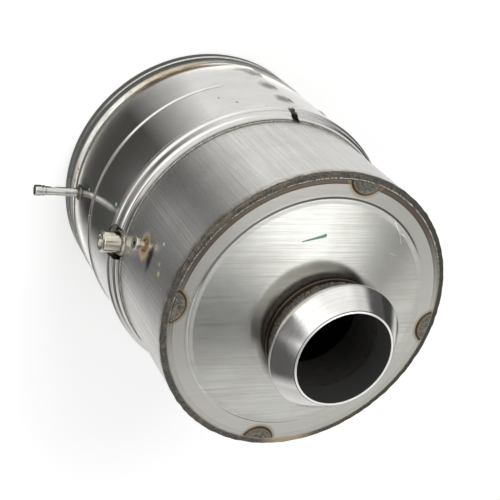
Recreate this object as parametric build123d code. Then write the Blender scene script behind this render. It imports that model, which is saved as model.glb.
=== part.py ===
"""Diesel exhaust catalyst module: a round steel canister, one open joint flange at its rear end,
one end plate with an off-centre gas neck at its front end, and three fittings on its side.

Millimetres. The canister's axis is Z. The origin is the centre of the rear joint face, +Z runs to
the gas neck, and +X is the side to which the neck is offset. Angles are counted from +X about Z.
"""

import os
from math import cos, radians, sin

from build123d import *

# Canister
LENGTH = 325.0  # rear joint face to the outer face of the end plate
CAN_RADIUS = 152.4  # outside of the 12 inch can
CAN_SHEET = 1.5
SLIP = 0.2  # clearance between pieces that slide together before welding
LINING_FIT = 0.3  # clearance round soft linings
OVERRUN = 9.0  # how far a cutting tool runs past the wall it cuts
HOLE_MARGIN = 0.8  # how much wider than a fitting's bore the hole behind it is

# Rear joint flange
FLANGE_LIP = 4.0
FLANGE_LIP_WIDTH = 2.9
FLANGE_FACE_DROP = 3.5  # how far the joint face stays inside the wrap's radius
FLANGE_RIM_PROUD = 0.5
FLANGE_RIM_REAR = 11.0
FLANGE_RIM_WIDTH = 1.5
GROOVE_DEPTH = 3.7
GROOVE_FLANK = 4.5
GROOVE_WIDTH = 5.0
FLANGE_BEAD_PROUD = 1.7
FLANGE_BEAD_WIDTH = 10.5
FLANGE_BEAD_FLANK = 3.5
FLANGE_BEAD_ROUND = 3.2
FLANGE_BEAD_SLOPE = 2.0
FLANGE_WELD_PROUD = 1.1
FLANGE_WELD_LAP = 2.4

# Heat wrap
WRAP_GAP = 6.1  # space for the blanket between can and wrap
WRAP_SHEET = 1.5
WRAP_ROOT = 3.0  # gap from the joint flange that its weld fills

# Shoulder bead at the front edge of the wrap
SHOULDER_REAR = 170.5
BEAD_FLANK = 4.0
BEAD_CREST = 7.0
BEAD_RISE = 1.8
BEAD_DIP = 1.4
SHOULDER_SLOPE = 9.5
SHOULDER_ROUND = 2.5
EDGE_WELD_LEG = 1.5
EDGE_WELD_PROUD = 0.6

# Pressed rib round the wrap, broken at the lap seam
RIB_HEIGHT = 102.5
RIB_WIDTH = 7.0
RIB_RISE = 1.2
RIB_START = 146.0
RIB_SWEEP = 318.0

# Lap seam of the wrap and the relief notch in front of it
SEAM_ANGLE = 127.0
LAP_SWEEP = 15.0
NOTCH_LAG = 2.6  # degrees from the seam's edge to the notch
NOTCH_SWEEP = 3.2
NOTCH_SETBACK = 2.0
SEAM_BEAD_RADIUS = 1.5
SEAM_BEAD_LENGTH = 15.0
SEAM_BEAD_COUNT = 3
SEAM_BEAD_PITCH = 42.0

# End plate with its flat rim, shallow oblique dish and drawn collar
PLATE_SHEET = 2.0
PLATE_RIM_WIDTH = 24.2
PLATE_STEP_RISE = 1.5
DISH_RISE = 1.5
NECK_OFFSET = 25.5
COLLAR_FOOT = 8.65
COLLAR_BEND = 4.0
COLLAR_HEIGHT = 7.5  # top of the collar above the flat rim
CORNER_WELD_DROP = 2.4  # how far the weld runs down the can's side
CORNER_WELD_REACH = 8.0  # how far it runs in from the can's side, over the plate
CORNER_WELD_PROUD = 0.7
CORNER_WELD_CROWN = 1.5
PLUG_WELD_ANGLES = (124.4, 38.4, -54.3, -140.0)
PLUG_WELD_RADIUS = 18.0  # each is a round blob about a point of the plate's edge
PLUG_WELD_RISE = 1.6

# Gas neck and its cone-nosed clamp flange; heights count from the end plate's face
NECK_RADIUS = 57.15
NECK_SHEET = 2.0
NECK_TAIL = 22.0
AIR_GAP = 2.35
SLEEVE_SHEET = 1.5
HUB_THICKNESS = 3.85
HUB_HEIGHT = 18.0
HUB_WIDTH = 5.5
SOCKET_DEPTH = 6.0
BACK_CONE_RISE = 8.5
BACK_CONE_WIDTH = 3.5
RIDGE_WIDTH = 3.0
RIDGE_ROUND = 1.0
NOSE_WALL = 2.0
NOSE_LENGTH = 24.0
NOSE_BEVEL = 0.6
NECK_WELD_PROUD = 1.2
NECK_WELD_TAPER = 1.5

# Catalyst brick and what holds it
MAT_GAP = 8.0
BRICK_REAR = 60.0
BRICK_LENGTH = 114.3
MAT_MARGIN = 8.0
SEAL_WIDTH = 5.0
RETAINER_SHEET = 1.5
RETAINER_DEPTH = 12.0
RETAINER_GRIP = 3.9

# Lining of the front chamber
LINER_GAP = 4.9
LINER_SHEET = 1.0
LINER_START = 19.7  # from the brick's front face
LINER_DEPTH = 23.0  # from the end plate's face down to the inner plate
LINER_PLATE_SKIRT = 12.0

# Sensor boss
BOSS_ANGLE = -138.0
BOSS_HEIGHT = 184.0
BOSS_RADIUS = 11.25
BOSS_REACH = 23.6
BOSS_BORE_RADIUS = 6.2
BOSS_CHAMFER = 1.8
BOSS_LEAD = 1.0  # countersink of the thread
BOSS_WELD_LEG = 3.4
BOSS_CUTOUT_MARGIN = 7.25

# Pressure port
PORT_ANGLE = -147.8
PORT_HEIGHT = 242.0
PORT_WALL = 2.0
PORT_BORE_RADIUS = 2.5
PORT_RING_RISE = 2.0
PORT_RING_WIDTH = 4.5
PORT_RING_BEVEL = 0.8
PORT_REACH = 13.6
PORT_WELD_LEG = 2.2

# Pressure tube
TUBE_ANGLE = -136.5
TUBE_RADIUS = 5.0
TUBE_WALL = 1.2
TUBE_TAIL = 2.4
TUBE_REACH = 50.5
TUBE_HEAD_RISE = 1.0
TUBE_HEAD_WIDTH = 7.5
TUBE_HEAD_BEVEL = 1.4
TUBE_RING_RISE = 0.8
TUBE_RING_WIDTH = 3.0
TUBE_RING_BEVEL = 0.5
TUBE_GROOVE_WIDTH = 1.2
WASHER_WIDTH = 3.8
WASHER_THICKNESS = 1.6
WASHER_BEVEL = 0.8
WASHER_CLEARANCE = 0.6  # from the joint flange's weld to the washer's edge
TUBE_WELD_LEG = 1.8

# Radii that follow from the sizes above
can_bore = CAN_RADIUS - CAN_SHEET
wrap_bore = CAN_RADIUS + WRAP_GAP
wrap_radius = wrap_bore + WRAP_SHEET
wrap_edge_bore = CAN_RADIUS + SLIP
wrap_reach = wrap_radius + OVERRUN
flange_seat = CAN_RADIUS + SLIP
flange_bore = can_bore - FLANGE_LIP_WIDTH
flange_rim_radius = wrap_radius + FLANGE_RIM_PROUD
groove_radius = flange_rim_radius - GROOVE_DEPTH
flange_bead_radius = wrap_radius + FLANGE_BEAD_PROUD
plate_radius = can_bore - SLIP
plate_step_radius = plate_radius - PLATE_RIM_WIDTH
corner_weld_toe = CAN_RADIUS - CORNER_WELD_REACH
neck_bore = NECK_RADIUS - NECK_SHEET
sleeve_radius = neck_bore - AIR_GAP
sleeve_bore = sleeve_radius - SLEEVE_SHEET
nose_bore = sleeve_bore - HOLE_MARGIN
nose_radius = nose_bore + NOSE_WALL
hub_radius = NECK_RADIUS + HUB_THICKNESS
ridge_radius = hub_radius + BACK_CONE_RISE
collar_bore = NECK_RADIUS + SLIP
collar_radius = collar_bore + PLATE_SHEET
collar_foot_radius = collar_radius + COLLAR_FOOT
brick_radius = can_bore - MAT_GAP
retainer_bore = brick_radius - RETAINER_GRIP
liner_radius = can_bore - LINER_GAP
boss_cutout_radius = BOSS_RADIUS + BOSS_CUTOUT_MARGIN
port_radius = PORT_BORE_RADIUS + PORT_WALL
port_hole_radius = PORT_BORE_RADIUS + HOLE_MARGIN
tube_hole_radius = TUBE_RADIUS + SLIP
washer_radius = tube_hole_radius + WASHER_WIDTH

# Heights that follow from the sizes above
groove_rear = FLANGE_RIM_REAR + FLANGE_RIM_WIDTH + GROOVE_FLANK
groove_front = groove_rear + GROOVE_WIDTH
flange_bead_rear = groove_front + FLANGE_BEAD_FLANK
flange_bead_front = flange_bead_rear + FLANGE_BEAD_WIDTH
flange_front = flange_bead_front + FLANGE_BEAD_SLOPE
wrap_rear = flange_front + WRAP_ROOT
wrap_front = SHOULDER_REAR + 2 * BEAD_FLANK + BEAD_CREST + SHOULDER_SLOPE
lap_rear = wrap_rear + FLANGE_WELD_LAP + SLIP
tube_height = wrap_rear + FLANGE_WELD_LAP + WASHER_CLEARANCE + washer_radius
notch_rear = SHOULDER_REAR + NOTCH_SETBACK
plate_inside = LENGTH - PLATE_SHEET
can_front = LENGTH - CAN_SHEET
collar_top = LENGTH + COLLAR_HEIGHT
hub_rear = LENGTH + HUB_HEIGHT
socket_top = hub_rear + SOCKET_DEPTH
ridge_rear = hub_rear + HUB_WIDTH + BACK_CONE_WIDTH
ridge_front = ridge_rear + RIDGE_WIDTH
brick_front = BRICK_REAR + BRICK_LENGTH
mat_rear = BRICK_REAR + MAT_MARGIN
mat_front = brick_front - MAT_MARGIN
liner_rear = brick_front + LINER_START
liner_front = LENGTH - LINER_DEPTH
liner_plate_rear = liner_front - LINER_SHEET

# Distances from the axis to the ends of the side fittings
boss_tip = CAN_RADIUS + BOSS_REACH
port_tip = CAN_RADIUS + PORT_REACH
tube_inner_end = can_bore - TUBE_TAIL
tube_tip = wrap_radius + TUBE_REACH


def nearest_corner(face, point):
    """The vertex of a flat face that lies nearest to a point of its outline."""
    return face.vertices().sort_by_distance(Vector(*point))[0]


def turned(corners, rounds=None, bevels=None, centre=0.0):
    """A solid of revolution about the vertical through (centre, 0).

    rounds and bevels map the number of a corner to its fillet radius or its chamfer length.
    """
    face = make_face(Polyline(*corners, close=True))
    for number, radius in (rounds or {}).items():
        face = fillet(nearest_corner(face, corners[number]), radius)
    for number, length in (bevels or {}).items():
        face = chamfer(nearest_corner(face, corners[number]), length)
    return Pos(centre, 0, 0) * revolve(Plane.XZ * face, Axis.Z)


def ring(outer, inner, rear, front, centre=0.0):
    """A plain ring or tube about the vertical through (centre, 0)."""
    corners = [(inner, rear), (outer, rear), (outer, front), (inner, front)]
    return turned(corners, centre=centre)


def drum(radius, rear, front, centre=0.0):
    """A plain solid cylinder from the height rear to the height front."""
    upright = (Align.CENTER, Align.CENTER, Align.MIN)
    return Pos(centre, 0, rear) * Cylinder(radius, front - rear, align=upright)


def sector(start, sweep, reach, rear, front):
    """A wedge of space between two angles, out to the radius reach."""
    middle = radians(start + sweep / 2)
    half = radians(sweep / 2)
    far = reach / cos(half)
    left = (far * cos(middle + half), far * sin(middle + half))
    right = (far * cos(middle - half), far * sin(middle - half))
    floor = make_face(Polyline((0, 0), right, left, close=True))
    return Pos(0, 0, rear) * extrude(floor, front - rear)


def outward(angle, height):
    """The plane of a side fitting: its Z is the distance from the canister's axis."""
    direction = (cos(radians(angle)), sin(radians(angle)), 0)
    return Plane(origin=(0, 0, height), x_dir=(0, 0, 1), z_dir=direction)


def fitting(angle, height, corners, bevels=None):
    """A turned piece that stands straight out of the canister's side."""
    return outward(angle, height) * turned(corners, bevels=bevels)


def side_drill(angle, height, radius, start, end):
    """The space of a round hole drilled straight into the canister's side."""
    return outward(angle, height) * drum(radius, start, end)


def fillet_weld(angle, height, stem, leg, seat):
    """A weld bead round a stem, on a round wall whose outer radius is seat."""
    foot = seat - stem
    crown = seat + leg
    corners = [(stem, foot), (stem + leg, foot), (stem + leg, seat), (stem + 0.4 * leg, crown - 0.4 * leg)]
    corners.append((stem, crown))
    bead = fitting(angle, height, corners)
    return bead - drum(seat, height - stem - leg - OVERRUN, height + stem + leg + OVERRUN)


def can_body():
    """The 12 inch can that everything is welded to, with the holes of its three fittings."""
    body = ring(CAN_RADIUS, can_bore, FLANGE_LIP, can_front)
    inside = can_bore - OVERRUN
    outside = CAN_RADIUS + OVERRUN
    body -= side_drill(BOSS_ANGLE, BOSS_HEIGHT, BOSS_BORE_RADIUS + HOLE_MARGIN, inside, outside)
    body -= side_drill(PORT_ANGLE, PORT_HEIGHT, port_hole_radius, inside, outside)
    body -= side_drill(TUBE_ANGLE, tube_height, tube_hole_radius, inside, outside)
    return body


def rear_flange():
    """Turned ring with a clamp groove, pushed over the can's rear end against an inner lip."""
    corners = [
        (flange_bore, 0),
        (wrap_radius - FLANGE_FACE_DROP, 0),
        (flange_rim_radius, FLANGE_RIM_REAR),
        (flange_rim_radius, FLANGE_RIM_REAR + FLANGE_RIM_WIDTH),
        (groove_radius, groove_rear),
        (groove_radius, groove_front),
        (flange_bead_radius, flange_bead_rear),
        (flange_bead_radius, flange_bead_front),
        (wrap_radius, flange_front),
        (flange_seat, flange_front),
        (flange_seat, FLANGE_LIP),
        (flange_bore, FLANGE_LIP),
    ]
    return turned(corners, rounds={6: FLANGE_BEAD_ROUND, 7: FLANGE_BEAD_ROUND})


def rear_flange_weld():
    """Weld bead that closes the gap between the joint flange and the wrap's rear edge."""
    proud = wrap_radius + FLANGE_WELD_PROUD
    corners = [
        (wrap_bore, flange_front),
        (wrap_radius, flange_front),
        (proud, flange_front + FLANGE_WELD_PROUD),
        (proud, wrap_rear + 0.25 * FLANGE_WELD_LAP),
        (wrap_radius, wrap_rear + FLANGE_WELD_LAP),
        (wrap_radius, wrap_rear),
        (wrap_bore, wrap_rear),
    ]
    return turned(corners)


def wrap_form(inset):
    """The space inside the wrap's surface, moved inwards by inset."""
    radius = wrap_radius - inset
    crest_rear = SHOULDER_REAR + BEAD_FLANK
    crest_front = crest_rear + BEAD_CREST
    dip = crest_front + BEAD_FLANK
    corners = [
        (0, wrap_rear),
        (radius, wrap_rear),
        (radius, SHOULDER_REAR),
        (radius + BEAD_RISE, crest_rear),
        (radius + BEAD_RISE, crest_front),
        (radius - BEAD_DIP, dip),
        (wrap_edge_bore + WRAP_SHEET - inset, wrap_front),
        (0, wrap_front),
    ]
    rounds = {3: SHOULDER_ROUND, 4: SHOULDER_ROUND}
    form = turned(corners, rounds=rounds)
    rib_radius = (RIB_WIDTH**2 / 4 + RIB_RISE**2) / (2 * RIB_RISE)
    rib_centre = wrap_radius + RIB_RISE - rib_radius
    tube = Pos(rib_centre, 0) * Circle(rib_radius - inset)
    rib = Rot(0, 0, RIB_START) * revolve(Plane.XZ * tube, Axis.Z, RIB_SWEEP)
    ends = [RIB_START, RIB_START + RIB_SWEEP]
    balls = [Rot(0, 0, angle) * Pos(rib_centre, 0, 0) * Sphere(rib_radius - inset) for angle in ends]
    return form + Pos(0, 0, RIB_HEIGHT) * (rib + balls)


def climbing_lap():
    """The space under the outer end of the wrap's sheet, which climbs up to the seam."""
    shift = WRAP_SHEET / cos(radians(90 - LAP_SWEEP))
    across = radians(SEAM_ANGLE + LAP_SWEEP - 90)
    climb = Pos(shift * cos(across), shift * sin(across), 0) * drum(wrap_radius, lap_rear, SHOULDER_REAR)
    return climb & sector(SEAM_ANGLE, LAP_SWEEP, wrap_reach, lap_rear, SHOULDER_REAR)


def heat_wrap():
    """Rolled outer sheet with its rib, shoulder bead, lap seam, relief notch and cut-outs."""
    lap = climbing_lap() - drum(wrap_bore + WRAP_SHEET / 2, lap_rear, SHOULDER_REAR)
    wrap = wrap_form(0) - wrap_form(WRAP_SHEET) + lap
    wrap -= sector(SEAM_ANGLE + NOTCH_LAG, NOTCH_SWEEP, wrap_reach, notch_rear, wrap_front + OVERRUN)
    wrap -= side_drill(BOSS_ANGLE, BOSS_HEIGHT, boss_cutout_radius, can_bore - OVERRUN, wrap_reach)
    wrap -= side_drill(TUBE_ANGLE, tube_height, tube_hole_radius, can_bore, wrap_reach)
    return wrap


def tapered_rod(radius, length):
    """An upright rod with tapered ends, about its own middle."""
    half = length / 2
    return turned([(0, -half), (radius / 3, -half), (radius, radius - half), (radius, half - radius),
                   (radius / 3, half), (0, half)])


def wrap_seam_welds():
    """Three short weld runs in the corner along the edge of the lap."""
    edge = wrap_radius + WRAP_SHEET / 2
    wrapped = drum(wrap_radius, lap_rear, SHOULDER_REAR) + climbing_lap()
    runs = []
    middle = (lap_rear + SHOULDER_REAR) / 2
    for step in range(SEAM_BEAD_COUNT):
        height = middle + (step - (SEAM_BEAD_COUNT - 1) / 2) * SEAM_BEAD_PITCH
        rod = Pos(edge, -SEAM_BEAD_RADIUS / 3, height) * tapered_rod(SEAM_BEAD_RADIUS, SEAM_BEAD_LENGTH)
        runs += (Rot(0, 0, SEAM_ANGLE) * rod - wrapped).solids()
    return Compound(children=runs)


def wrap_edge_weld():
    """Thin weld that holds the wrap's front edge to the can, open at the notch and the boss."""
    edge = wrap_edge_bore + WRAP_SHEET
    corners = [
        (CAN_RADIUS, wrap_front),
        (edge, wrap_front),
        (CAN_RADIUS + EDGE_WELD_PROUD, wrap_front + 0.8 * EDGE_WELD_LEG),
        (CAN_RADIUS, wrap_front + EDGE_WELD_LEG),
    ]
    bead = turned(corners)
    notch_start = SEAM_ANGLE + NOTCH_LAG
    bead -= sector(notch_start, NOTCH_SWEEP, wrap_reach, wrap_front - OVERRUN, wrap_front + OVERRUN)
    return bead - side_drill(BOSS_ANGLE, BOSS_HEIGHT, boss_cutout_radius, can_bore - OVERRUN, wrap_reach)


def dish(rear, rim_radius, foot_radius):
    """The oblique frustum between the plate's round step and the collar's off-centre foot."""
    step = Pos(0, 0, rear + PLATE_STEP_RISE) * Circle(rim_radius)
    foot = Pos(NECK_OFFSET, 0, rear + PLATE_STEP_RISE + DISH_RISE) * Circle(foot_radius)
    return loft([step, foot], ruled=True)


def plate_form(rear, radius_change):
    """The space below one face of the end plate, down to well inside the can."""
    deep = PLATE_SHEET * 4
    rim = drum(plate_radius, rear - deep, rear)
    raised = drum(plate_step_radius + radius_change, rear - deep, rear + PLATE_STEP_RISE)
    return rim + raised + dish(rear, plate_step_radius + radius_change, collar_foot_radius + radius_change)


def end_plate():
    """Pressed end plate: flat rim, small step, oblique dish and a collar drawn round the neck."""
    plate = plate_form(LENGTH, 0) - plate_form(plate_inside, 0)
    plate &= drum(plate_radius, plate_inside, LENGTH + COLLAR_HEIGHT)
    foot = LENGTH + PLATE_STEP_RISE + DISH_RISE
    opening = drum(collar_foot_radius, LENGTH - OVERRUN, LENGTH + OVERRUN, NECK_OFFSET)
    corners = [
        (collar_bore, collar_top),
        (collar_radius, collar_top),
        (collar_radius, foot),
        (collar_foot_radius, foot),
        (collar_foot_radius, foot - PLATE_SHEET),
        (collar_bore, foot - PLATE_SHEET),
    ]
    rounds = {2: COLLAR_BEND, 5: COLLAR_BEND + PLATE_SHEET}
    collar = turned(corners, rounds=rounds, centre=NECK_OFFSET)
    return plate - opening + collar


def plate_weld():
    """Corner weld between the can's front edge and the end plate."""
    crown = LENGTH + CORNER_WELD_CROWN
    corners = [
        (CAN_RADIUS, LENGTH - CORNER_WELD_DROP),
        (CAN_RADIUS + CORNER_WELD_PROUD, LENGTH - 0.4 * CORNER_WELD_DROP),
        (CAN_RADIUS - 0.2 * CORNER_WELD_REACH, crown - 0.2 * CORNER_WELD_CROWN),
        (corner_weld_toe + 0.5 * CORNER_WELD_REACH, crown),
        (corner_weld_toe + 0.15 * CORNER_WELD_REACH, crown - 0.5 * CORNER_WELD_CROWN),
        (corner_weld_toe, LENGTH),
        (plate_radius, LENGTH),
        (plate_radius, can_front),
        (CAN_RADIUS, can_front),
    ]
    return turned(corners)


def plug_welds():
    """Four half-moon weld blobs that tie the liner's bracket to the plate, inside the corner weld."""
    blobs = []
    top = LENGTH + PLUG_WELD_RISE
    for angle in PLUG_WELD_ANGLES:
        blob = drum(PLUG_WELD_RADIUS, LENGTH, top, plate_radius) & drum(corner_weld_toe, LENGTH, top)
        blob = chamfer(blob.faces().sort_by(Axis.Z)[-1].edges(), 0.6 * PLUG_WELD_RISE)
        blobs += (Rot(0, 0, angle) * blob).solids()
    return Compound(children=blobs)


def neck_tube():
    """The 4.5 inch tube that carries the clamp flange, seated in the flange's socket."""
    return ring(NECK_RADIUS, neck_bore, LENGTH - NECK_TAIL, socket_top - SLIP, NECK_OFFSET)


def neck_weld():
    """Heavy weld that fills the corner between the drawn collar and the neck tube."""
    proud = collar_radius + NECK_WELD_PROUD
    corners = [
        (NECK_RADIUS, collar_top),
        (collar_radius, collar_top),
        (proud, collar_top + NECK_WELD_TAPER),
        (proud, hub_rear - NECK_WELD_TAPER),
        ((proud + NECK_RADIUS) / 2, hub_rear),
        (NECK_RADIUS, hub_rear),
    ]
    return turned(corners, centre=NECK_OFFSET)


def neck_flange():
    """Cone-nosed clamp flange: long front cone, narrow ridge and a steep back cone to the hub."""
    socket = NECK_RADIUS + SLIP
    corners = [
        (socket, hub_rear),
        (hub_radius, hub_rear),
        (hub_radius, hub_rear + HUB_WIDTH),
        (ridge_radius, ridge_rear),
        (ridge_radius, ridge_front),
        (nose_radius, ridge_front + NOSE_LENGTH),
        (nose_bore, ridge_front + NOSE_LENGTH),
        (nose_bore, socket_top),
        (socket, socket_top),
    ]
    return turned(corners, rounds={4: RIDGE_ROUND}, bevels={5: NOSE_BEVEL}, centre=NECK_OFFSET)


def neck_sleeve():
    """Thin inner sleeve that carries the gas past the air gap, from the flange to the liner."""
    return ring(sleeve_radius, sleeve_bore, liner_plate_rear, socket_top, NECK_OFFSET)


def liner_plate():
    """Inner end plate of the front chamber, with a turned edge inside the chamber liner."""
    bore = sleeve_radius + SLIP
    edge = liner_radius - LINER_SHEET - SLIP
    plate = drum(edge, liner_plate_rear, liner_front)
    plate += ring(edge, edge - LINER_SHEET, liner_plate_rear - LINER_PLATE_SKIRT, liner_front)
    return plate - drum(bore, liner_plate_rear - OVERRUN, liner_front + OVERRUN, NECK_OFFSET)


def plate_insulation():
    """Fibre pad between the inner and the outer end plate."""
    pad = drum(can_bore - LINING_FIT, liner_front + LINING_FIT, plate_inside - LINING_FIT)
    return pad - drum(NECK_RADIUS + LINING_FIT, liner_front, LENGTH, NECK_OFFSET)


def chamber_liner():
    """Thin tube that keeps hot gas off the front shell, drilled for the pressure port."""
    liner = ring(liner_radius, liner_radius - LINER_SHEET, liner_rear, liner_front)
    return liner - side_drill(PORT_ANGLE, PORT_HEIGHT, port_hole_radius, liner_radius - OVERRUN, can_bore)


def chamber_insulation():
    """Fibre sleeve between the chamber liner and the front shell."""
    outer = can_bore - LINING_FIT
    sleeve = ring(outer, liner_radius + LINING_FIT, liner_rear + SEAL_WIDTH, liner_front)
    return sleeve - side_drill(PORT_ANGLE, PORT_HEIGHT, port_hole_radius, liner_radius - OVERRUN, can_bore)


def liner_support():
    """Ring that centres the rear end of the chamber liner in the can."""
    front = liner_rear + SEAL_WIDTH - LINING_FIT
    return ring(can_bore - SLIP, liner_radius + SLIP, liner_rear, front)


def catalyst_brick():
    """Round honeycomb brick; its fine square channels run straight through along the axis."""
    return drum(brick_radius, BRICK_REAR, brick_front)


def support_mat():
    """Swelling fibre mat wrapped round the brick."""
    return ring(can_bore - LINING_FIT, brick_radius + LINING_FIT, mat_rear, mat_front)


def mat_seal(rear):
    """Knitted wire ring that shields one end of the mat."""
    outer = can_bore - LINING_FIT
    return ring(outer, brick_radius + LINING_FIT, rear, rear + SEAL_WIDTH)


def brick_retainer(seat, depth):
    """Angle ring welded in the can, drilled for the tube; its flange stops the brick at seat."""
    outer = can_bore - SLIP
    step = RETAINER_SHEET if depth > 0 else -RETAINER_SHEET
    corners = [
        (retainer_bore, seat),
        (outer, seat),
        (outer, seat + depth),
        (outer - RETAINER_SHEET, seat + depth),
        (outer - RETAINER_SHEET, seat + step),
        (retainer_bore, seat + step),
    ]
    drill = side_drill(TUBE_ANGLE, tube_height, tube_hole_radius, can_bore - OVERRUN, CAN_RADIUS)
    return turned(corners) - drill


def wrap_blanket():
    """Fibre blanket between the can and the wrap, cut out for the boss and the pressure tube."""
    blanket = ring(wrap_bore - LINING_FIT, CAN_RADIUS + LINING_FIT, wrap_rear + LINING_FIT, SHOULDER_REAR)
    blanket -= side_drill(BOSS_ANGLE, BOSS_HEIGHT, boss_cutout_radius, can_bore, wrap_reach)
    return blanket - side_drill(TUBE_ANGLE, tube_height, tube_hole_radius, can_bore, wrap_reach)


def sensor_boss():
    """Turned threaded boss, coped to the can, with a chamfered mouth."""
    corners = [
        (BOSS_BORE_RADIUS, can_bore),
        (BOSS_RADIUS, can_bore),
        (BOSS_RADIUS, boss_tip - BOSS_CHAMFER),
        (BOSS_RADIUS - BOSS_CHAMFER, boss_tip),
        (BOSS_BORE_RADIUS + BOSS_LEAD, boss_tip),
        (BOSS_BORE_RADIUS, boss_tip - BOSS_LEAD),
    ]
    boss = fitting(BOSS_ANGLE, BOSS_HEIGHT, corners)
    return boss - drum(CAN_RADIUS, BOSS_HEIGHT - boss_cutout_radius, BOSS_HEIGHT + boss_cutout_radius)


def sensor_boss_weld():
    """Weld bead round the foot of the boss."""
    return fillet_weld(BOSS_ANGLE, BOSS_HEIGHT, BOSS_RADIUS, BOSS_WELD_LEG, CAN_RADIUS)


def pressure_port():
    """Short nipple with a stop ring at its open end, coped to the can."""
    ring_foot = port_tip - PORT_RING_WIDTH
    corners = [
        (PORT_BORE_RADIUS, can_bore),
        (port_radius, can_bore),
        (port_radius, ring_foot),
        (port_radius + PORT_RING_RISE, ring_foot),
        (port_radius + PORT_RING_RISE, port_tip),
        (PORT_BORE_RADIUS, port_tip),
    ]
    port = fitting(PORT_ANGLE, PORT_HEIGHT, corners, {3: PORT_RING_BEVEL, 4: PORT_RING_BEVEL})
    return port - drum(CAN_RADIUS, PORT_HEIGHT - OVERRUN, PORT_HEIGHT + OVERRUN)


def pressure_port_weld():
    """Weld bead round the foot of the port."""
    return fillet_weld(PORT_ANGLE, PORT_HEIGHT, port_radius, PORT_WELD_LEG, CAN_RADIUS)


def pressure_tube():
    """Straight pressure tube with a formed ring and a rounded head, through wrap and can."""
    head_foot = tube_tip - TUBE_HEAD_WIDTH
    ring_front = head_foot - TUBE_GROOVE_WIDTH
    ring_foot = ring_front - TUBE_RING_WIDTH
    bore = TUBE_RADIUS - TUBE_WALL
    ring_radius = TUBE_RADIUS + TUBE_RING_RISE
    head_radius = TUBE_RADIUS + TUBE_HEAD_RISE
    corners = [
        (bore, tube_inner_end),
        (TUBE_RADIUS, tube_inner_end),
        (TUBE_RADIUS, ring_foot),
        (ring_radius, ring_foot),
        (ring_radius, ring_front),
        (TUBE_RADIUS, ring_front),
        (TUBE_RADIUS, head_foot),
        (head_radius, head_foot),
        (head_radius, tube_tip),
        (bore, tube_tip),
    ]
    bevels = {3: TUBE_RING_BEVEL, 7: TUBE_RING_BEVEL, 8: TUBE_HEAD_BEVEL}
    return fitting(TUBE_ANGLE, tube_height, corners, bevels)


def tube_washer():
    """Formed washer that seals the tube's hole in the wrap."""
    bore = tube_hole_radius
    foot = wrap_radius - WASHER_THICKNESS
    corners = [(bore, foot), (washer_radius, foot)]
    corners += [(washer_radius, wrap_radius + WASHER_THICKNESS), (bore, wrap_radius + WASHER_THICKNESS)]
    washer = fitting(TUBE_ANGLE, tube_height, corners, {2: WASHER_BEVEL})
    return washer - drum(wrap_radius, tube_height - 2 * washer_radius, tube_height + 2 * washer_radius)


def tube_weld():
    """Weld bead round the tube, on top of its washer."""
    foot = wrap_radius + WASHER_THICKNESS
    corners = [
        (TUBE_RADIUS, foot),
        (TUBE_RADIUS + TUBE_WELD_LEG, foot),
        (TUBE_RADIUS + 0.5 * TUBE_WELD_LEG, foot + 0.7 * TUBE_WELD_LEG),
        (TUBE_RADIUS, foot + TUBE_WELD_LEG),
    ]
    return fitting(TUBE_ANGLE, tube_height, corners)


PIECES = {
    "can_body": can_body,
    "rear_flange": rear_flange,
    "rear_flange_weld": rear_flange_weld,
    "heat_wrap": heat_wrap,
    "wrap_seam_welds": wrap_seam_welds,
    "wrap_edge_weld": wrap_edge_weld,
    "wrap_blanket": wrap_blanket,
    "end_plate": end_plate,
    "plate_weld": plate_weld,
    "plug_welds": plug_welds,
    "neck_tube": neck_tube,
    "neck_weld": neck_weld,
    "neck_flange": neck_flange,
    "neck_sleeve": neck_sleeve,
    "liner_plate": liner_plate,
    "plate_insulation": plate_insulation,
    "chamber_liner": chamber_liner,
    "chamber_insulation": chamber_insulation,
    "liner_support": liner_support,
    "catalyst_brick": catalyst_brick,
    "support_mat": support_mat,
    "rear_mat_seal": lambda: mat_seal(mat_rear - SEAL_WIDTH - LINING_FIT),
    "front_mat_seal": lambda: mat_seal(mat_front + LINING_FIT),
    "rear_retainer": lambda: brick_retainer(BRICK_REAR - LINING_FIT, -RETAINER_DEPTH),
    "front_retainer": lambda: brick_retainer(brick_front + LINING_FIT, RETAINER_DEPTH),
    "sensor_boss": sensor_boss,
    "sensor_boss_weld": sensor_boss_weld,
    "pressure_port": pressure_port,
    "pressure_port_weld": pressure_port_weld,
    "pressure_tube": pressure_tube,
    "tube_washer": tube_washer,
    "tube_weld": tube_weld,
}


def main():
    """Build every piece and write it to its own file."""
    os.makedirs("parts", exist_ok=True)
    for name, make in PIECES.items():
        export_step(make(), f"parts/{name}.step")


main()
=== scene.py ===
# %% [markdown]
# # A diesel exhaust catalyst module, dressed for the studio
#
# The real object is a round stainless canister. Exhaust gas enters through the wide joint ring at
# its rear, passes a ceramic honeycomb and leaves through the off-centre neck in its front plate.
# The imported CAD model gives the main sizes, and this file adds what a workshop and a hot engine
# leave behind: grain, weld ripples, heat tint and small dents. Each step says what the piece is,
# how it could be made in Blender, and why it is made this way here.

# %% Load the frame
import math

import bmesh
import bpy
import numpy as np
from mathutils import Matrix, Vector


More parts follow.
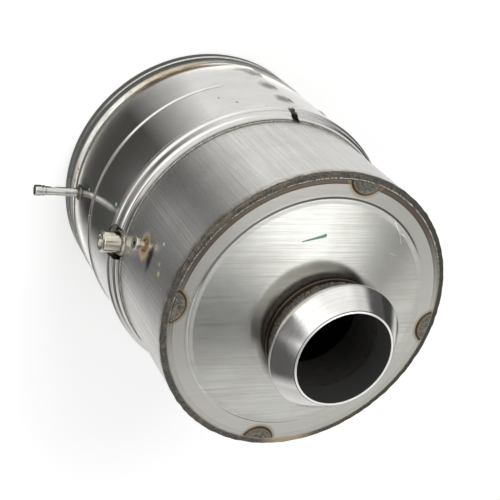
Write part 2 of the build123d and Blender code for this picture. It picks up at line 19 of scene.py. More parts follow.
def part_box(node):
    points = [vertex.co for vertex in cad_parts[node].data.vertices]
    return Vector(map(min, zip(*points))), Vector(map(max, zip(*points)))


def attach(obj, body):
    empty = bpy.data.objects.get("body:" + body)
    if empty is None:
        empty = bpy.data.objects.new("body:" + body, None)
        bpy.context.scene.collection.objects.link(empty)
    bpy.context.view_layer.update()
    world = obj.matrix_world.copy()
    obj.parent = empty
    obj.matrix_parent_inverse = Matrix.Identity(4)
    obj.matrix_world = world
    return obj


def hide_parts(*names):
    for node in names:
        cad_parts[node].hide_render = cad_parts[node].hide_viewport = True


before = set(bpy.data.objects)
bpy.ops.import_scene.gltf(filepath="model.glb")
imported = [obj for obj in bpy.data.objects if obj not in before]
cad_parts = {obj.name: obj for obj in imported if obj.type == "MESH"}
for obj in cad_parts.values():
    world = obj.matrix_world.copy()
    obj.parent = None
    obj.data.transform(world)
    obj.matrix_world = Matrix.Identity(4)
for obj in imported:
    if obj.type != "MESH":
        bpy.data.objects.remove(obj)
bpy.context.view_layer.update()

print("CAD nodes:", len(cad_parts))

# %% [markdown]
# ## Sizes
#
# The frame is in metres. A maker thinks of sheet metal in millimetres, so every size below is in
# millimetres, the main ones read from the boxes of the CAD nodes. Points turn into metres only when
# a mesh is made. An angle is in degrees round the upright axis, counted from the side that the neck
# leans to.

# %% Sizes read from the frame
METRE = 1000.0  # millimetres


def box_mm(node):
    """Lowest and highest corner of a CAD node, in millimetres."""
    low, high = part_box(node)
    return low * METRE, high * METRE


can_low, can_high = box_mm("can_body")
wrap_low, wrap_high = box_mm("heat_wrap")
plate_low, plate_high = box_mm("end_plate")
hub_low, hub_high = box_mm("neck_flange")
SHEET = 1.5  # wall of the can and of the wrap
PLATE_SHEET = 2.0
CREST_RISE = 1.8  # how far the wrap's shoulder stands out
CAN_RADIUS, CAN_REAR, CAN_FRONT = can_high.x, can_low.z, can_high.z
WRAP_RADIUS, WRAP_REAR, WRAP_FRONT = wrap_high.x - CREST_RISE, wrap_low.z, wrap_high.z
PLATE_RADIUS, PLATE_FACE = plate_high.x, plate_low.z + PLATE_SHEET
NECK_X = (hub_low.x + hub_high.x) / 2
print(f"can {CAN_RADIUS:.1f}, wrap {WRAP_RADIUS:.1f}, plate face {PLATE_FACE:.1f}, neck x {NECK_X:.1f}")

# %% [markdown]
# ## Making round things
#
# Nearly every piece here is spun, rolled or turned. Blender's Screw modifier could do it, but then
# a weld's ripple or a dent has to be added by another tool. A lathe in a few lines of code gives
# both at once: an outline of radius and height is swept round the axis, and a sculpting function
# may move every point before the mesh is made.

# %% Meshes from points in millimetres
SHARP = 35.0  # a bend of more degrees than this stays a crease


def polar(radius, turn, height):
    """Points at an angle in radians round the upright axis."""
    return radius * np.cos(turn), radius * np.sin(turn), height


def make_object(name, points, faces):
    """A smooth-shaded object from points in millimetres."""
    mesh = bpy.data.meshes.new(name)
    mesh.from_pydata((np.asarray(points) / METRE).tolist(), [], faces)
    mesh.validate()
    mesh.polygons.foreach_set("use_smooth", [True] * len(mesh.polygons))
    mesh.set_sharp_from_angle(angle=math.radians(SHARP))
    obj = bpy.data.objects.new(name, mesh)
    bpy.context.scene.collection.objects.link(obj)
    return obj


def ring_faces(steps, rows):
    """Quads of a grid that closes on itself both round the axis and round the outline."""
    faces = []
    for i in range(steps):
        near, far = i * rows, (i + 1) % steps * rows
        for j in range(rows):
            up = (j + 1) % rows
            faces.append((near + j, far + j, far + up, near + up))
    return faces


def spin(name, outline, steps=480, centre=0.0, sculpt=None):
    """A closed outline of (radius, height, optional centre) turned round an upright axis."""
    angle = np.linspace(0, 360, steps, endpoint=False)[:, None]
    radius = np.repeat(outline[None, :, 0], steps, 0)
    height = np.repeat(outline[None, :, 1], steps, 0)
    if sculpt:
        radius, height = sculpt(angle, radius, height)
    turn = np.radians(angle)
    middle = outline[None, :, 2] if outline.shape[1] > 2 else centre
    points = np.stack([middle + radius * np.cos(turn), radius * np.sin(turn), height], -1)
    return make_object(name, points.reshape(-1, 3), ring_faces(steps, len(outline)))


# %% [markdown]
# An outline is written as its few real corners. A third number on a corner says how far back its
# rounding starts, as a maker would write a radius on a drawing. Long straight runs are divided
# where a sculpting function needs points to move.

# %% Outlines with rounded corners
def soften(corners, closed=True, cuts=7):
    """An outline whose corners (radius, height, cut-back) are rounded over the cut-back distance."""
    outline = []
    count = len(corners)
    for index, corner in enumerate(corners):
        here = np.array(corner[:2], float)
        cut_back = corner[2] if len(corner) > 2 else 0.0
        if cut_back == 0 or (not closed and index in (0, count - 1)):
            outline.append(here)
            continue
        before = np.array(corners[index - 1][:2], float) - here
        after = np.array(corners[(index + 1) % count][:2], float) - here
        start = here + before * min(cut_back / np.linalg.norm(before), 0.48)
        end = here + after * min(cut_back / np.linalg.norm(after), 0.48)
        for t in np.linspace(0, 1, cuts):
            outline.append((1 - t) ** 2 * start + 2 * t * (1 - t) * here + t**2 * end)
    return np.array(outline)


def stepped(outline, longest, closed=False):
    """The same outline with its long runs divided into equal parts."""
    points = list(outline) + ([outline[0]] if closed else [])
    fine = []
    for start, end in zip(points[:-1], points[1:]):
        parts = max(1, math.ceil(np.linalg.norm(end - start) / longest))
        fine += [start + (end - start) * k / parts for k in range(parts)]
    return np.array(fine if closed else fine + [points[-1]])


def smooth(value):
    """0 to 1 with an easy start and an easy end."""
    value = np.clip(value, 0, 1)
    return value * value * (3 - 2 * value)


# %% [markdown]
# Nothing that is welded or rolled by hand is perfectly even. Random numbers at every point would
# make sandpaper, so the unevenness is a sum of a few cosine waves round the axis with random
# phases. It closes on itself after a full turn and gives the same result on each run.

# %% Unevenness that closes on itself
def waves(angle, fewest, most, count, seed, height=0.0, twist=0.0):
    """A smooth random value from about -1 to 1 that repeats after a full turn."""
    dice = np.random.default_rng(seed)
    total = 0.0
    for _ in range(count):
        around = dice.integers(fewest, most + 1)
        lean = dice.uniform(-twist, twist)
        total = total + np.cos(np.radians(angle) * around + height * lean + dice.uniform(0, 6.28))
    return total / math.sqrt(count)


def scallops(angle, radius, pitch, seed):
    """The overlapping ripples of a weld run, from 0 in a valley to 1 on a crest."""
    count = round(2 * math.pi * radius / pitch)
    drift = 0.9 * waves(angle, 3, 25, 8, seed)
    return np.abs(np.cos(np.radians(angle) * count / 2 + drift))


def weld_sculpt(middle_radius, middle_height, pitch, depth, lumps, seed):
    """Moves the skin of a bead out and in from its middle, by ripples and by slower lumps."""

    def sculpt(angle, radius, height):
        ripple = scallops(angle, middle_radius, pitch, seed) - 1.0
        lump = waves(angle, 20, 90, 12, seed + 1, height=height, twist=1.2) - 1.2
        scale = 1.0 + depth * ripple + lumps * lump
        new_radius = middle_radius + (radius - middle_radius) * scale
        return new_radius, middle_height + (height - middle_height) * scale

    return sculpt


print("helpers ready")

# %% [markdown]
# ## Wiring nodes
#
# All finishes are node materials that read the piece's own coordinates. The frame keeps every
# object at the origin, so those coordinates are the frame's own millimetres, and a stain can be
# placed by its angle and height. Wiring nodes by hand takes four lines for each sum, so this class
# gives each node one short call. The world is wired with the same calls.

# %% A short way to wire nodes
class Wiring:
    """A node tree being wired: each call adds a node or a few, and returns their output."""

    def __init__(self, tree):
        self.nodes, self.links = tree.nodes, tree.links
        self.nodes.clear()

    def add(self, kind, **settings):
        node = self.nodes.new("ShaderNode" + kind)
        for name, value in settings.items():
            setattr(node, name, value)
        return node

    def feed(self, socket, value):
        if isinstance(value, bpy.types.NodeSocket):
            self.links.new(value, socket)
        else:
            socket.default_value = value

    def math(self, operation, *values):
        node = self.add("Math", operation=operation)
        for socket, value in zip(node.inputs, values):
            self.feed(socket, value)
        return node.outputs[0]

    def vector(self, operation, *values):
        node = self.add("VectorMath", operation=operation)
        for socket, value in zip(node.inputs, values):
            self.feed(socket, value)
        return node.outputs["Value" if operation in ("LENGTH", "DOT_PRODUCT", "DISTANCE") else "Vector"]

    def split(self, vector):
        node = self.add("SeparateXYZ")
        self.feed(node.inputs[0], vector)
        return node.outputs

    def join(self, *parts):
        node = self.add("CombineXYZ")
        for socket, value in zip(node.inputs, parts):
            self.feed(socket, value)
        return node.outputs[0]

    def rotate(self, vector, axis, angle):
        node = self.add("VectorRotate", rotation_type=axis + "_AXIS")
        self.feed(node.inputs["Vector"], vector)
        node.inputs["Angle"].default_value = math.radians(angle)
        return node.outputs[0]

    def noise(self, place, stretch, detail=3.0, rough=0.5, warp=0.0):
        """Noise whose features are about 1 / stretch long on each axis."""
        node = self.add("TexNoise")
        self.feed(node.inputs["Vector"], self.vector("MULTIPLY", place, stretch))
        settings = {"Scale": 1.0, "Detail": detail, "Roughness": rough, "Distortion": warp}
        for name, value in settings.items():
            node.inputs[name].default_value = value
        return node.outputs["Fac"]

    def ramp(self, value, low, high, start=0.0, end=1.0):
        """value mapped from low..high to start..end, held at the ends."""
        node = self.add("MapRange")
        for socket, number in zip(node.inputs, (value, low, high, start, end)):
            self.feed(socket, number)
        return node.outputs[0]

    def mix(self, share, first, second):
        node = self.add("Mix", data_type="RGBA")
        self.feed(node.inputs[0], share)
        for socket, colour in zip(node.inputs[6:8], (first, second)):
            self.feed(socket, (*colour, 1.0) if isinstance(colour, tuple) else colour)
        return node.outputs[2]

    def near(self, value, middle, inner, outer):
        """1 where value is within inner of middle, falling to 0 at outer."""
        off = self.math("ABSOLUTE", self.math("SUBTRACT", value, middle))
        return self.ramp(off, outer, inner)

    def rest(self, mask):
        """What a mask leaves of 1."""
        return self.math("SUBTRACT", 1.0, mask)

    def blot(self, place, centre, reach, soft, ragged=None):
        """1 inside an egg shape, 0 outside, with an edge as wide as soft; ragged roughens it."""
        away = self.vector("SUBTRACT", place, centre)
        length = self.vector("LENGTH", self.vector("MULTIPLY", away, tuple(1 / r for r in reach)))
        if ragged:
            length = self.math("ADD", length, ragged)
        return self.ramp(length, 1 + soft / 2, 1 - soft / 2)


# %% [markdown]
# A finish starts from one base colour and gains stains: a mask, a colour and a strength. The shader
# is always the Principled one, so that roughness, metal and brushed highlights are in one place.
# Relief is given in millimetres, as height above the sheet, and turned into a bump.

# %% Finishes
class Finish(Wiring):
    """A node material being built up from a base colour by stains."""

    def __init__(self, name, colour):
        self.material = bpy.data.materials.new(name)
        self.material.use_nodes = True
        super().__init__(self.material.node_tree)
        self.shader = self.add("BsdfPrincipled")
        self.links.new(self.shader.outputs[0], self.add("OutputMaterial").inputs[0])
        place = self.add("TexCoord").outputs["Object"]
        self.place = self.vector("MULTIPLY", place, (METRE, METRE, METRE))
        self.flat = self.vector("MULTIPLY", self.place, (1.0, 1.0, 0.0))
        self.away = self.vector("LENGTH", self.flat)
        self.height = self.split(self.place)[2]
        self.colour = colour

    def grain(self, x, y, z, detail=3.0, rough=0.5, warp=0.0):
        return self.noise(self.place, (x, y, z), detail, rough, warp)

    def towards(self, x, y):
        """How far a point lies from the axis in a level direction."""
        return self.vector("DOT_PRODUCT", self.flat, (x, y, 0.0))

    def spot(self, x, y, radius, soft):
        """A round mask seen from above, the same at every height."""
        return self.blot(self.flat, (x, y, 0.0), (radius, radius, 9.0), soft)

    def times(self, *masks):
        product = masks[0]
        for mask in masks[1:]:
            product = self.math("MULTIPLY", product, mask)
        return product

    def stain(self, mask, paint, strength=1.0):
        self.colour = self.mix(self.times(mask, strength), self.colour, paint)

    def specks(self, size, share, seed=0.0):
        """Small spots of about the given size; share is how much of the surface they take."""
        moved = self.vector("ADD", self.place, (seed, 2 * seed, 3 * seed))
        dots = self.noise(moved, (1 / size,) * 3, detail=2.0)
        return self.ramp(dots, 0.74 - share, 0.78 - share)

    def wall_patch(self, angle, height, radius, half_width, half_height, soft, ragged=0.0, lean=0.0):
        """A mask that lies on a round wall at an angle and a height."""
        centre = polar(radius, math.radians(angle), height)
        local = self.rotate(self.vector("SUBTRACT", self.place, centre), "Z", -angle)
        if lean:
            local = self.rotate(local, "X", lean)
        edge = None
        if ragged:
            edge = self.ramp(self.grain(0.35, 0.35, 0.35, detail=4.0), 0, 1, -ragged / 2, ragged / 2)
        return self.blot(local, (0, 0, 0), (40.0, half_width, half_height), soft, edge)

    def relief(self, height):
        """Bumps the surface by a height in millimetres."""
        node = self.add("Bump")
        node.inputs["Strength"].default_value = 1.0
        node.inputs["Distance"].default_value = 1 / METRE
        self.feed(node.inputs["Height"], height)
        self.feed(self.shader.inputs["Normal"], node.outputs[0])

    def blur_along(self, direction=None, *, anisotropy):
        """Stretches highlights round the axis, along the axis, or along a given direction."""
        if direction in (None, "axis"):
            node = self.add("Tangent", direction_type="RADIAL", axis="Z")
            direction, turned = node.outputs[0], 0.25 if direction else 0.0
            self.shader.inputs["Anisotropic Rotation"].default_value = turned
        self.feed(self.shader.inputs["Tangent"], direction)
        self.shader.inputs["Anisotropic"].default_value = anisotropy

    def done(self, rough, metal=1.0):
        colour = (*self.colour, 1.0) if isinstance(self.colour, tuple) else self.colour
        self.feed(self.shader.inputs["Base Color"], colour)
        self.feed(self.shader.inputs["Metallic"], metal)
        self.feed(self.shader.inputs["Roughness"], rough)
        return self.material


STEEL = (0.60, 0.59, 0.57)
DULL_STEEL = (0.34, 0.33, 0.315)
STRAW = (0.48, 0.34, 0.15)
BROWN = (0.13, 0.075, 0.04)
# Near black: real soot on smudges and specks, and painted shade in hollows and along edges.
SOOT_AND_SHADE = (0.035, 0.032, 0.03)
TEAL = (0.22, 0.60, 0.55)
print("finishes ready")

# %% [markdown]
# A piece that is made here stands for one or more CAD nodes. The same three calls go with each, so
# they are one helper: the piece gets its finish, rides on the only body and replaces its nodes.

# %% Fitting a piece to the frame
def dress(obj, finish, slot, *nodes):
    obj.data.materials.append(finish)
    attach(obj, "root")
    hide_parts(*nodes)
    print(f"{obj.name}: {len(obj.data.polygons)} faces")


# %% [markdown]
# ## Rolled sheets with holes
#
# The can and the wrap are rolled sheets with round holes. Boolean cuts in a thin, finely divided
# sheet leave slivers, so each sheet is a grid of angle and height: faces inside a hole are left
# out and the points along its edge are moved onto the true circle.

# %% Holes in a grid of angle and height
def cut_hole(kept, turn, height, angle, place, reach, arc):
    """Drops the grid's faces inside a round hole and moves its edge points onto the circle.

    arc is the length of one degree round the wall.
    """
    off = ((turn - angle + 180.0) % 360.0 - 180.0) * arc
    rise = height - place
    middle_off = (off[:-1, :-1] + off[1:, :-1]) / 2
    middle_rise = (rise[:-1, :-1] + rise[:-1, 1:]) / 2
    kept &= np.hypot(middle_off, middle_rise) > reach
    away = np.maximum(np.hypot(off, rise), 0.01)
    by_hole = np.zeros(turn.shape, bool)
    for i, j in np.argwhere(~kept):
        by_hole[i : i + 2, j : j + 2] = True
    edge = by_hole & (np.abs(away - reach) < 4.0)
    at_end = np.zeros(turn.shape, bool)
    at_end[:, [0, -1]] = True
    slid = np.sign(off) * np.sqrt(np.maximum(reach**2 - rise**2, 0))
    new_off = np.where(edge & ~at_end, off * reach / away, np.where(edge, slid, off))
    new_rise = np.where(edge & ~at_end, rise * reach / away, rise)
    return turn + (new_off - off) / arc, height + new_rise - rise


# %% [markdown]
# The grid's outer and inner skin are then joined along every free edge, which gives the sheet its
# real wall at holes, notches and ends. A lift function raises the pressed rib and the climbing lap.

# %% Rolled sheet
def rolled_sheet(name, angles, outline, holes, lift, drop=None):
    """A sheet rolled to an outline of (radius, height), with holes (angle, height, radius).

    lift says how far each point stands off the outline, and drop which faces are left out.
    """
    slope = np.gradient(outline, axis=0)
    slope /= np.linalg.norm(slope, axis=1)[:, None]
    turn, height = np.meshgrid(angles, outline[:, 1], indexing="ij")
    kept = np.ones((len(angles) - 1, len(outline) - 1), bool)
    if drop:
        kept &= ~drop((turn[:-1, :-1] + turn[1:, :-1]) / 2, (height[:-1, :-1] + height[:-1, 1:]) / 2)
    for hole in holes:
        turn, height = cut_hole(kept, turn, height, *hole, math.radians(outline[0, 0]))
    radius = np.interp(height, outline[:, 1], outline[:, 0]) + lift(turn, height)
    skins = []
    for depth in (0.0, SHEET):
        r = radius - depth * slope[None, :, 1]
        z = height + depth * slope[None, :, 0]
        skins.append(np.stack(polar(r, np.radians(turn), z), -1))
    points = np.concatenate([skin.reshape(-1, 3) for skin in skins])
    return make_object(name, points, skin_faces(kept, turn.shape))


def skin_faces(kept, shape):
    """Quads of an outer and an inner skin, joined where only one kept face has an edge."""
    rows = shape[1]
    count = shape[0] * rows
    faces, free = [], set()
    for i, j in np.argwhere(kept):
        first = int(i * rows + j)
        corner = (first, first + rows, first + rows + 1, first + 1)
        faces += [corner, tuple(c + count for c in corner[::-1])]
        for a, b in zip(corner, corner[1:] + corner[:1]):
            if (b, a) in free:
                free.remove((b, a))
            else:
                free.add((a, b))
    return faces + [(b, a, a + count, b + count) for a, b in sorted(free)]


def tidy_mesh(obj):
    """Joins points that coincide and drops points that no face uses."""
    work = bmesh.new()
    work.from_mesh(obj.data)
    bmesh.ops.remove_doubles(work, verts=work.verts, dist=1e-6)
    bmesh.ops.delete(work, geom=[v for v in work.verts if not v.link_faces], context="VERTS")
    work.to_mesh(obj.data)
    work.free()


# %% [markdown]
# ## Front shell
#
# The front shell is the can itself, rolled from brushed stainless sheet with its grain along the
# axis. Brushed metal blurs reflections across its grain only, and Blender's anisotropy does that
# without any relief. Stretched noise adds the deeper brush lines, and stains by position add what
# heat, welding and handling have left: straw and brown round the fittings, a smudge and dots. Inside
# the wrap's cut-out round the boss, painted shade darkens the can to near black.

# %% Steel of the front shell
PORT_ANGLE, PORT_HEIGHT = -147.8, 242.0
BOSS_ANGLE, TUBE_ANGLE = -138.0, -136.5
PORT, BOSS, TUBE = (PORT_ANGLE, PORT_HEIGHT), (BOSS_ANGLE, 184.0), (TUBE_ANGLE, 53.0)
BOSS_CUTOUT = 18.5
SMUDGE = (-146.2, 261.5)  # angle and height
SHELL_DOTS = (
    (-154.8, 275.2, (0.35, 0.75, 0.70), 1.7, 0.8),
    (-145.6, 290.0, (0.50, 0.42, 0.16), 2.4, 0.7),
    (-148.4, 284.4, (0.45, 0.38, 0.18), 2.0, 0.5),
    (-164.8, 317.8, (0.45, 0.16, 0.03), 1.5, 0.9),
)


def shell_steel():
    f = Finish("shell_steel", STEEL)
    fine = f.grain(2.4, 2.4, 0.02, detail=3.0, rough=0.7)
    coarse = f.grain(0.55, 0.55, 0.006, detail=3.0, rough=0.6)
    brush = f.math("ADD", f.times(fine, 0.5), f.times(coarse, 0.5))
    f.stain(f.ramp(brush, 0.40, 0.62), DULL_STEEL, 0.55)
    f.stain(f.ramp(f.grain(0.022, 0.022, 0.03), 0.4, 0.75), DULL_STEEL, 0.35)
    near_weld = f.ramp(f.height, PLATE_FACE - 8.5, PLATE_FACE - 2.5)
    f.stain(f.times(near_weld, f.ramp(f.grain(0.12, 0.12, 0.3), 0.3, 0.55)), (0.20, 0.13, 0.06), 0.85)
    f.stain(f.ramp(f.height, WRAP_FRONT + 5.0, WRAP_FRONT + 1.0), (0.16, 0.13, 0.10), 0.6)
    halo = f.wall_patch(PORT_ANGLE + 0.5, PORT_HEIGHT, CAN_RADIUS, 13.5, 10.5, 0.35, ragged=0.5, lean=-25)
    f.stain(halo, (0.54, 0.36, 0.14), 0.85)
    f.stain(f.wall_patch(*PORT, CAN_RADIUS, 8.5, 7.0, 0.6, ragged=0.9), BROWN, 0.9)
    f.stain(f.wall_patch(*SMUDGE, CAN_RADIUS, 12.5, 4.6, 0.7, ragged=0.6, lean=-6.0), SOOT_AND_SHADE, 0.95)
    bare = f.rest(f.times(halo, 0.8))
    for angle, place, paint, size, strength in SHELL_DOTS:
        dot = f.wall_patch(angle, place, CAN_RADIUS, size, size, 0.9, ragged=0.5)
        f.stain(dot, paint, strength)
        bare = f.math("SUBTRACT", bare, f.times(dot, strength))
    # Painted shade: inside the wrap's cut-out round the boss, the can is darkened to near black.
    cutout_painted_shade = f.wall_patch(*BOSS, CAN_RADIUS, BOSS_CUTOUT, BOSS_CUTOUT, 0.15)
    f.stain(f.times(cutout_painted_shade, f.ramp(f.height, WRAP_FRONT + 3.0, WRAP_FRONT - 1.0)), SOOT_AND_SHADE, 0.92)
    scratches = f.near(f.grain(0.35, 0.35, 0.012, detail=2.0, warp=0.4), 0.5, 0.0018, 0.003)
    f.stain(scratches, (0.8, 0.79, 0.77), 0.3)
    f.relief(f.times(brush, 0.03))
    f.blur_along(anisotropy=0.6)
    return f.done(metal=f.math("MAXIMUM", bare, 0.0), rough=f.ramp(brush, 0.38, 0.62, 0.24, 0.34))


SHELL_STEEL = shell_steel()

# %% [markdown]
# A rolled sheet is never quite round, so its wall wanders by a few hundredths of a millimetre. That
# is too little to see in the outline, but it bends the reflections as real sheet does.

# %% Front shell
TUBE_HOLE = 5.2
SHELL_HOLES = ((*PORT, 3.3), (*BOSS, 7.0), (*TUBE, TUBE_HOLE))


def shell_lift(turn, height):
    return -0.05 + 0.03 * waves(turn, 2, 7, 6, seed=3, height=height, twist=0.02)


shell_outline = stepped(np.array([(CAN_RADIUS, CAN_REAR), (CAN_RADIUS, CAN_FRONT)]), 3.6)
shell_angles = np.linspace(0, 360, 361)
shell = rolled_sheet("front_shell", shell_angles, shell_outline, SHELL_HOLES, shell_lift)
tidy_mesh(shell)
dress(shell, SHELL_STEEL, "can_steel", "can_body")

# %% [markdown]
# ## Heat wrap
#
# The wrap is smoother sheet, rolled across its grain, so it blurs along the axis and only a little.
# The welds along its seam were made by hand and have tinted the sheet brown, the joint ring's weld
# has left a brown line at its rear edge, and a sooty smudge lies round the pressure tube and in
# front of it. Two dabs of old paint and a few small spots lie on it too.

# %% Steel of the wrap
HOT_SIDE = (-149.0, 52.0)  # where heat has coloured the rear end
HEAT_BROWN = (0.10, 0.06, 0.03)
SEAM_ANGLE = 127.0
SEAM_RUNS = (65.1, 107.1, 149.1)  # middle height of each weld run along the seam
WRAP_DOTS = (
    (-142.4, 82.0, TEAL, 1.3, 2.4),
    (-149.6, 162.3, TEAL, 1.6, 2.6),
    (153.9, 133.2, SOOT_AND_SHADE, 1.2, 1.0),
    (149.3, 153.0, SOOT_AND_SHADE, 1.3, 1.6),
    (141.0, 176.0, SOOT_AND_SHADE, 1.0, 0.8),
    (-134.9, 101.5, (0.8, 0.8, 0.78), 0.8, 2.0),
)


def wrap_steel():
    f = Finish("wrap_steel", STEEL)
    blotches = f.grain(0.03, 0.03, 0.05, detail=4.0, rough=0.6)
    lines = f.grain(0.03, 0.03, 2.4, rough=0.6)
    f.stain(f.ramp(blotches, 0.35, 0.75), DULL_STEEL, 0.25)
    f.stain(f.ramp(lines, 0.5, 0.7), DULL_STEEL, 0.15)
    brown_side = f.spot(*HOT_SIDE, 46.0, 0.8)
    rear_line = f.ramp(f.height, WRAP_REAR + 7.0, WRAP_REAR + 2.5)
    f.stain(f.times(rear_line, brown_side), HEAT_BROWN, 0.9)
    f.stain(f.ramp(f.height, WRAP_FRONT - 2.2, WRAP_FRONT - 0.6), (0.10, 0.09, 0.08), 0.6)
    for place in SEAM_RUNS:
        tint = f.wall_patch(SEAM_ANGLE + 2.5, place, WRAP_RADIUS, 8.5, 11.0, 0.9, ragged=1.4)
        f.stain(tint, (0.04, 0.028, 0.016), 0.95)
    f.stain(f.wall_patch(131.0, 56.0, WRAP_RADIUS, 14.0, 5.5, 1.0, ragged=1.4), (0.05, 0.04, 0.025), 0.75)
    f.stain(f.wall_patch(*TUBE, WRAP_RADIUS, 15.0, 15.0, 1.2, ragged=0.6), SOOT_AND_SHADE, 0.6)
    bare = 1.0
    for angle, place, paint, wide, tall in WRAP_DOTS:
        dot = f.wall_patch(angle, place, WRAP_RADIUS, wide, tall, 0.9, ragged=0.8)
        f.stain(dot, paint, 0.9)
        bare = f.math("SUBTRACT", bare, dot)
    f.stain(f.wall_patch(TUBE_ANGLE - 2.0, 78.0, WRAP_RADIUS, 12.0, 24.0, 0.7, lean=18.0), SOOT_AND_SHADE, 0.6)
    f.stain(f.specks(1.1, 0.0), SOOT_AND_SHADE, 0.6)
    f.relief(f.times(f.grain(0.018, 0.018, 0.02, detail=2.0), 0.12))
    f.blur_along("axis", anisotropy=0.3)
    return f.done(metal=f.math("MAXIMUM", bare, 0.0), rough=f.ramp(blotches, 0.3, 0.7, 0.12, 0.19))


WRAP_STEEL = wrap_steel()

# %% [markdown]
# The wrap's outline runs from the joint ring up to a shoulder, over a pressed bead and in two steps
# down to the can. The rib is a narrow raised ring that stops short of the lap seam. Rows of points
# lie close together where the sheet bends and far apart where it runs straight, because a highlight
# as thin as the one along the rib needs a dense mesh to stay crisp.

# %% Outline of the wrap
SHOULDER_REAR = 170.5
RIB_HEIGHT, RIB_HALF, RIB_RISE = 102.5, 2.3, 1.75
wrap_corners = [
    (WRAP_RADIUS, WRAP_REAR),
    (WRAP_RADIUS, SHOULDER_REAR, 1.6),
    (WRAP_RADIUS + CREST_RISE, SHOULDER_REAR + 4.5, 1.6),
    (WRAP_RADIUS + CREST_RISE, SHOULDER_REAR + 7.7, 1.0),
    (WRAP_RADIUS - 0.9, SHOULDER_REAR + 10.0, 0.8),
    (WRAP_RADIUS - 1.3, SHOULDER_REAR + 17.0, 0.6),
    (WRAP_RADIUS - 4.1, SHOULDER_REAR + 19.4, 0.8),
    (CAN_RADIUS + 0.25 + SHEET, WRAP_FRONT),
]
FINE = 0.4  # spacing where the sheet bends, in millimetres or degrees


def divided(*runs):
    """Numbers spaced run by run, each run being (start, end, spacing)."""
    return np.concatenate([np.arange(*run) for run in runs])


wrap_heights = divided(
    (WRAP_REAR, RIB_HEIGHT - 4.0, 3.2),
    (RIB_HEIGHT - 4.0, RIB_HEIGHT + 4.0, FINE),
    (RIB_HEIGHT + 4.0, SHOULDER_REAR - 1.8, 3.2),
    (SHOULDER_REAR - 1.8, WRAP_FRONT, FINE),
)
wrap_heights = np.append(wrap_heights, WRAP_FRONT)
wrap_curve = soften(wrap_corners, closed=False)
wrap_outline = np.stack([np.interp(wrap_heights, wrap_curve[:, 1], wrap_curve[:, 0]), wrap_heights], -1)
print("rows of the wrap:", len(wrap_outline))

# %% [markdown]
# The sheet goes once round and a little further: its outer end lies on top of its inner end and
# climbs by one wall. In front of the seam a relief notch is left open through the shoulder, so
# there the sheet ends on both sides of the notch.

# %% Heat wrap
LAP_SWEEP = 15.0
LAP_UNDER = 6.0  # how far the inner end runs on under the outer end
NOTCH_FROM, NOTCH_TO, NOTCH_REAR = SEAM_ANGLE + 2.6, SEAM_ANGLE + 5.8, 172.5
RIB_FROM, RIB_TO = 146.0, 464.0


def wrap_lift(turn, height):
    crest = np.cos(np.clip((height - RIB_HEIGHT) / RIB_HALF, -1, 1) * math.pi) * 0.5 + 0.5
    rib = RIB_RISE * crest * smooth((turn - RIB_FROM) / 3.0) * smooth((RIB_TO - turn) / 3.0)
    behind_shoulder = smooth((SHOULDER_REAR - height) / 3.0)
    lap = smooth((SEAM_ANGLE + LAP_SWEEP - turn) / LAP_SWEEP) * (SHEET + 0.05) * behind_shoulder
    return rib + lap - 0.06 + 0.05 * waves(turn, 2, 9, 6, seed=8, height=height, twist=0.03)


def notch(turn, height):
    """True where the sheet is missing: in front of the notch's rear end, between its sides."""
    return (height > NOTCH_REAR) & ((turn < NOTCH_TO) | (turn > NOTCH_FROM + 360.0))


LAP_END = SEAM_ANGLE + LAP_SWEEP + 1.0
ONCE_ROUND = SEAM_ANGLE + 360.0
wrap_angles = divided(
    (SEAM_ANGLE, LAP_END, FINE),
    (LAP_END, ONCE_ROUND, 1.0),
    (ONCE_ROUND, ONCE_ROUND + LAP_UNDER, FINE),
)
WRAP_HOLES = ((*BOSS, BOSS_CUTOUT), (*TUBE, TUBE_HOLE))
wrap = rolled_sheet("heat_wrap_sheet", wrap_angles, wrap_outline, WRAP_HOLES, wrap_lift, notch)
tidy_mesh(wrap)
dress(wrap, WRAP_STEEL, "wrap_steel", "heat_wrap")

# %% [markdown]
# ## Weld metal
#
# A weld that wasn't cleaned is dark, rough and spotted with oxide. Its ripples are real shape, in
# the mesh. The material adds the oxide skin: dark in the valleys of a fine noise, greyer on its
# tops, with a few bright grains of bare metal and some straw where it cooled last.

# %% Weld metal
def weld_metal(name, dark, light, straw, bright=0.0):
    """An unfinished weld finish: a piece may add stains of its own before it is done."""
    f = Finish(name, dark)
    f.skin = f.grain(0.9, 0.9, 0.9, detail=5.0, rough=0.65)
    f.stain(f.ramp(f.skin, 0.40, 0.62), light)
    f.stain(f.ramp(f.grain(0.09, 0.09, 0.12), 0.5, 0.72), STRAW, straw)
    f.stain(f.specks(0.8, bright), (0.62, 0.60, 0.57), 0.9)
    f.relief(f.times(f.skin, 0.35))
    return f


def weld_done(f):
    return f.done(metal=0.85, rough=f.ramp(f.skin, 0.3, 0.7, 0.58, 0.36))


WELD_BROWN = weld_done(weld_metal("weld_brown", (0.06, 0.038, 0.024), (0.24, 0.17, 0.11), 0.45, 0.03))
WELD_DARK = weld_done(weld_metal("weld_dark", (0.03, 0.026, 0.022), (0.14, 0.115, 0.09), 0.1))

# %% [markdown]
# The seam is held by three short runs of weld in the corner under the lap's edge. Each run is a
# lumpy rod: a circle of points carried along the edge, swelling on each ripple and tapering off at
# both ends. A curve with a bevel could do it, but its radius can't ripple so easily.

# %% Weld runs along the seam
RUN_HALF_LENGTH, RUN_HALF_DEPTH, RUN_HALF_WIDTH = 8.0, 1.25, 1.9


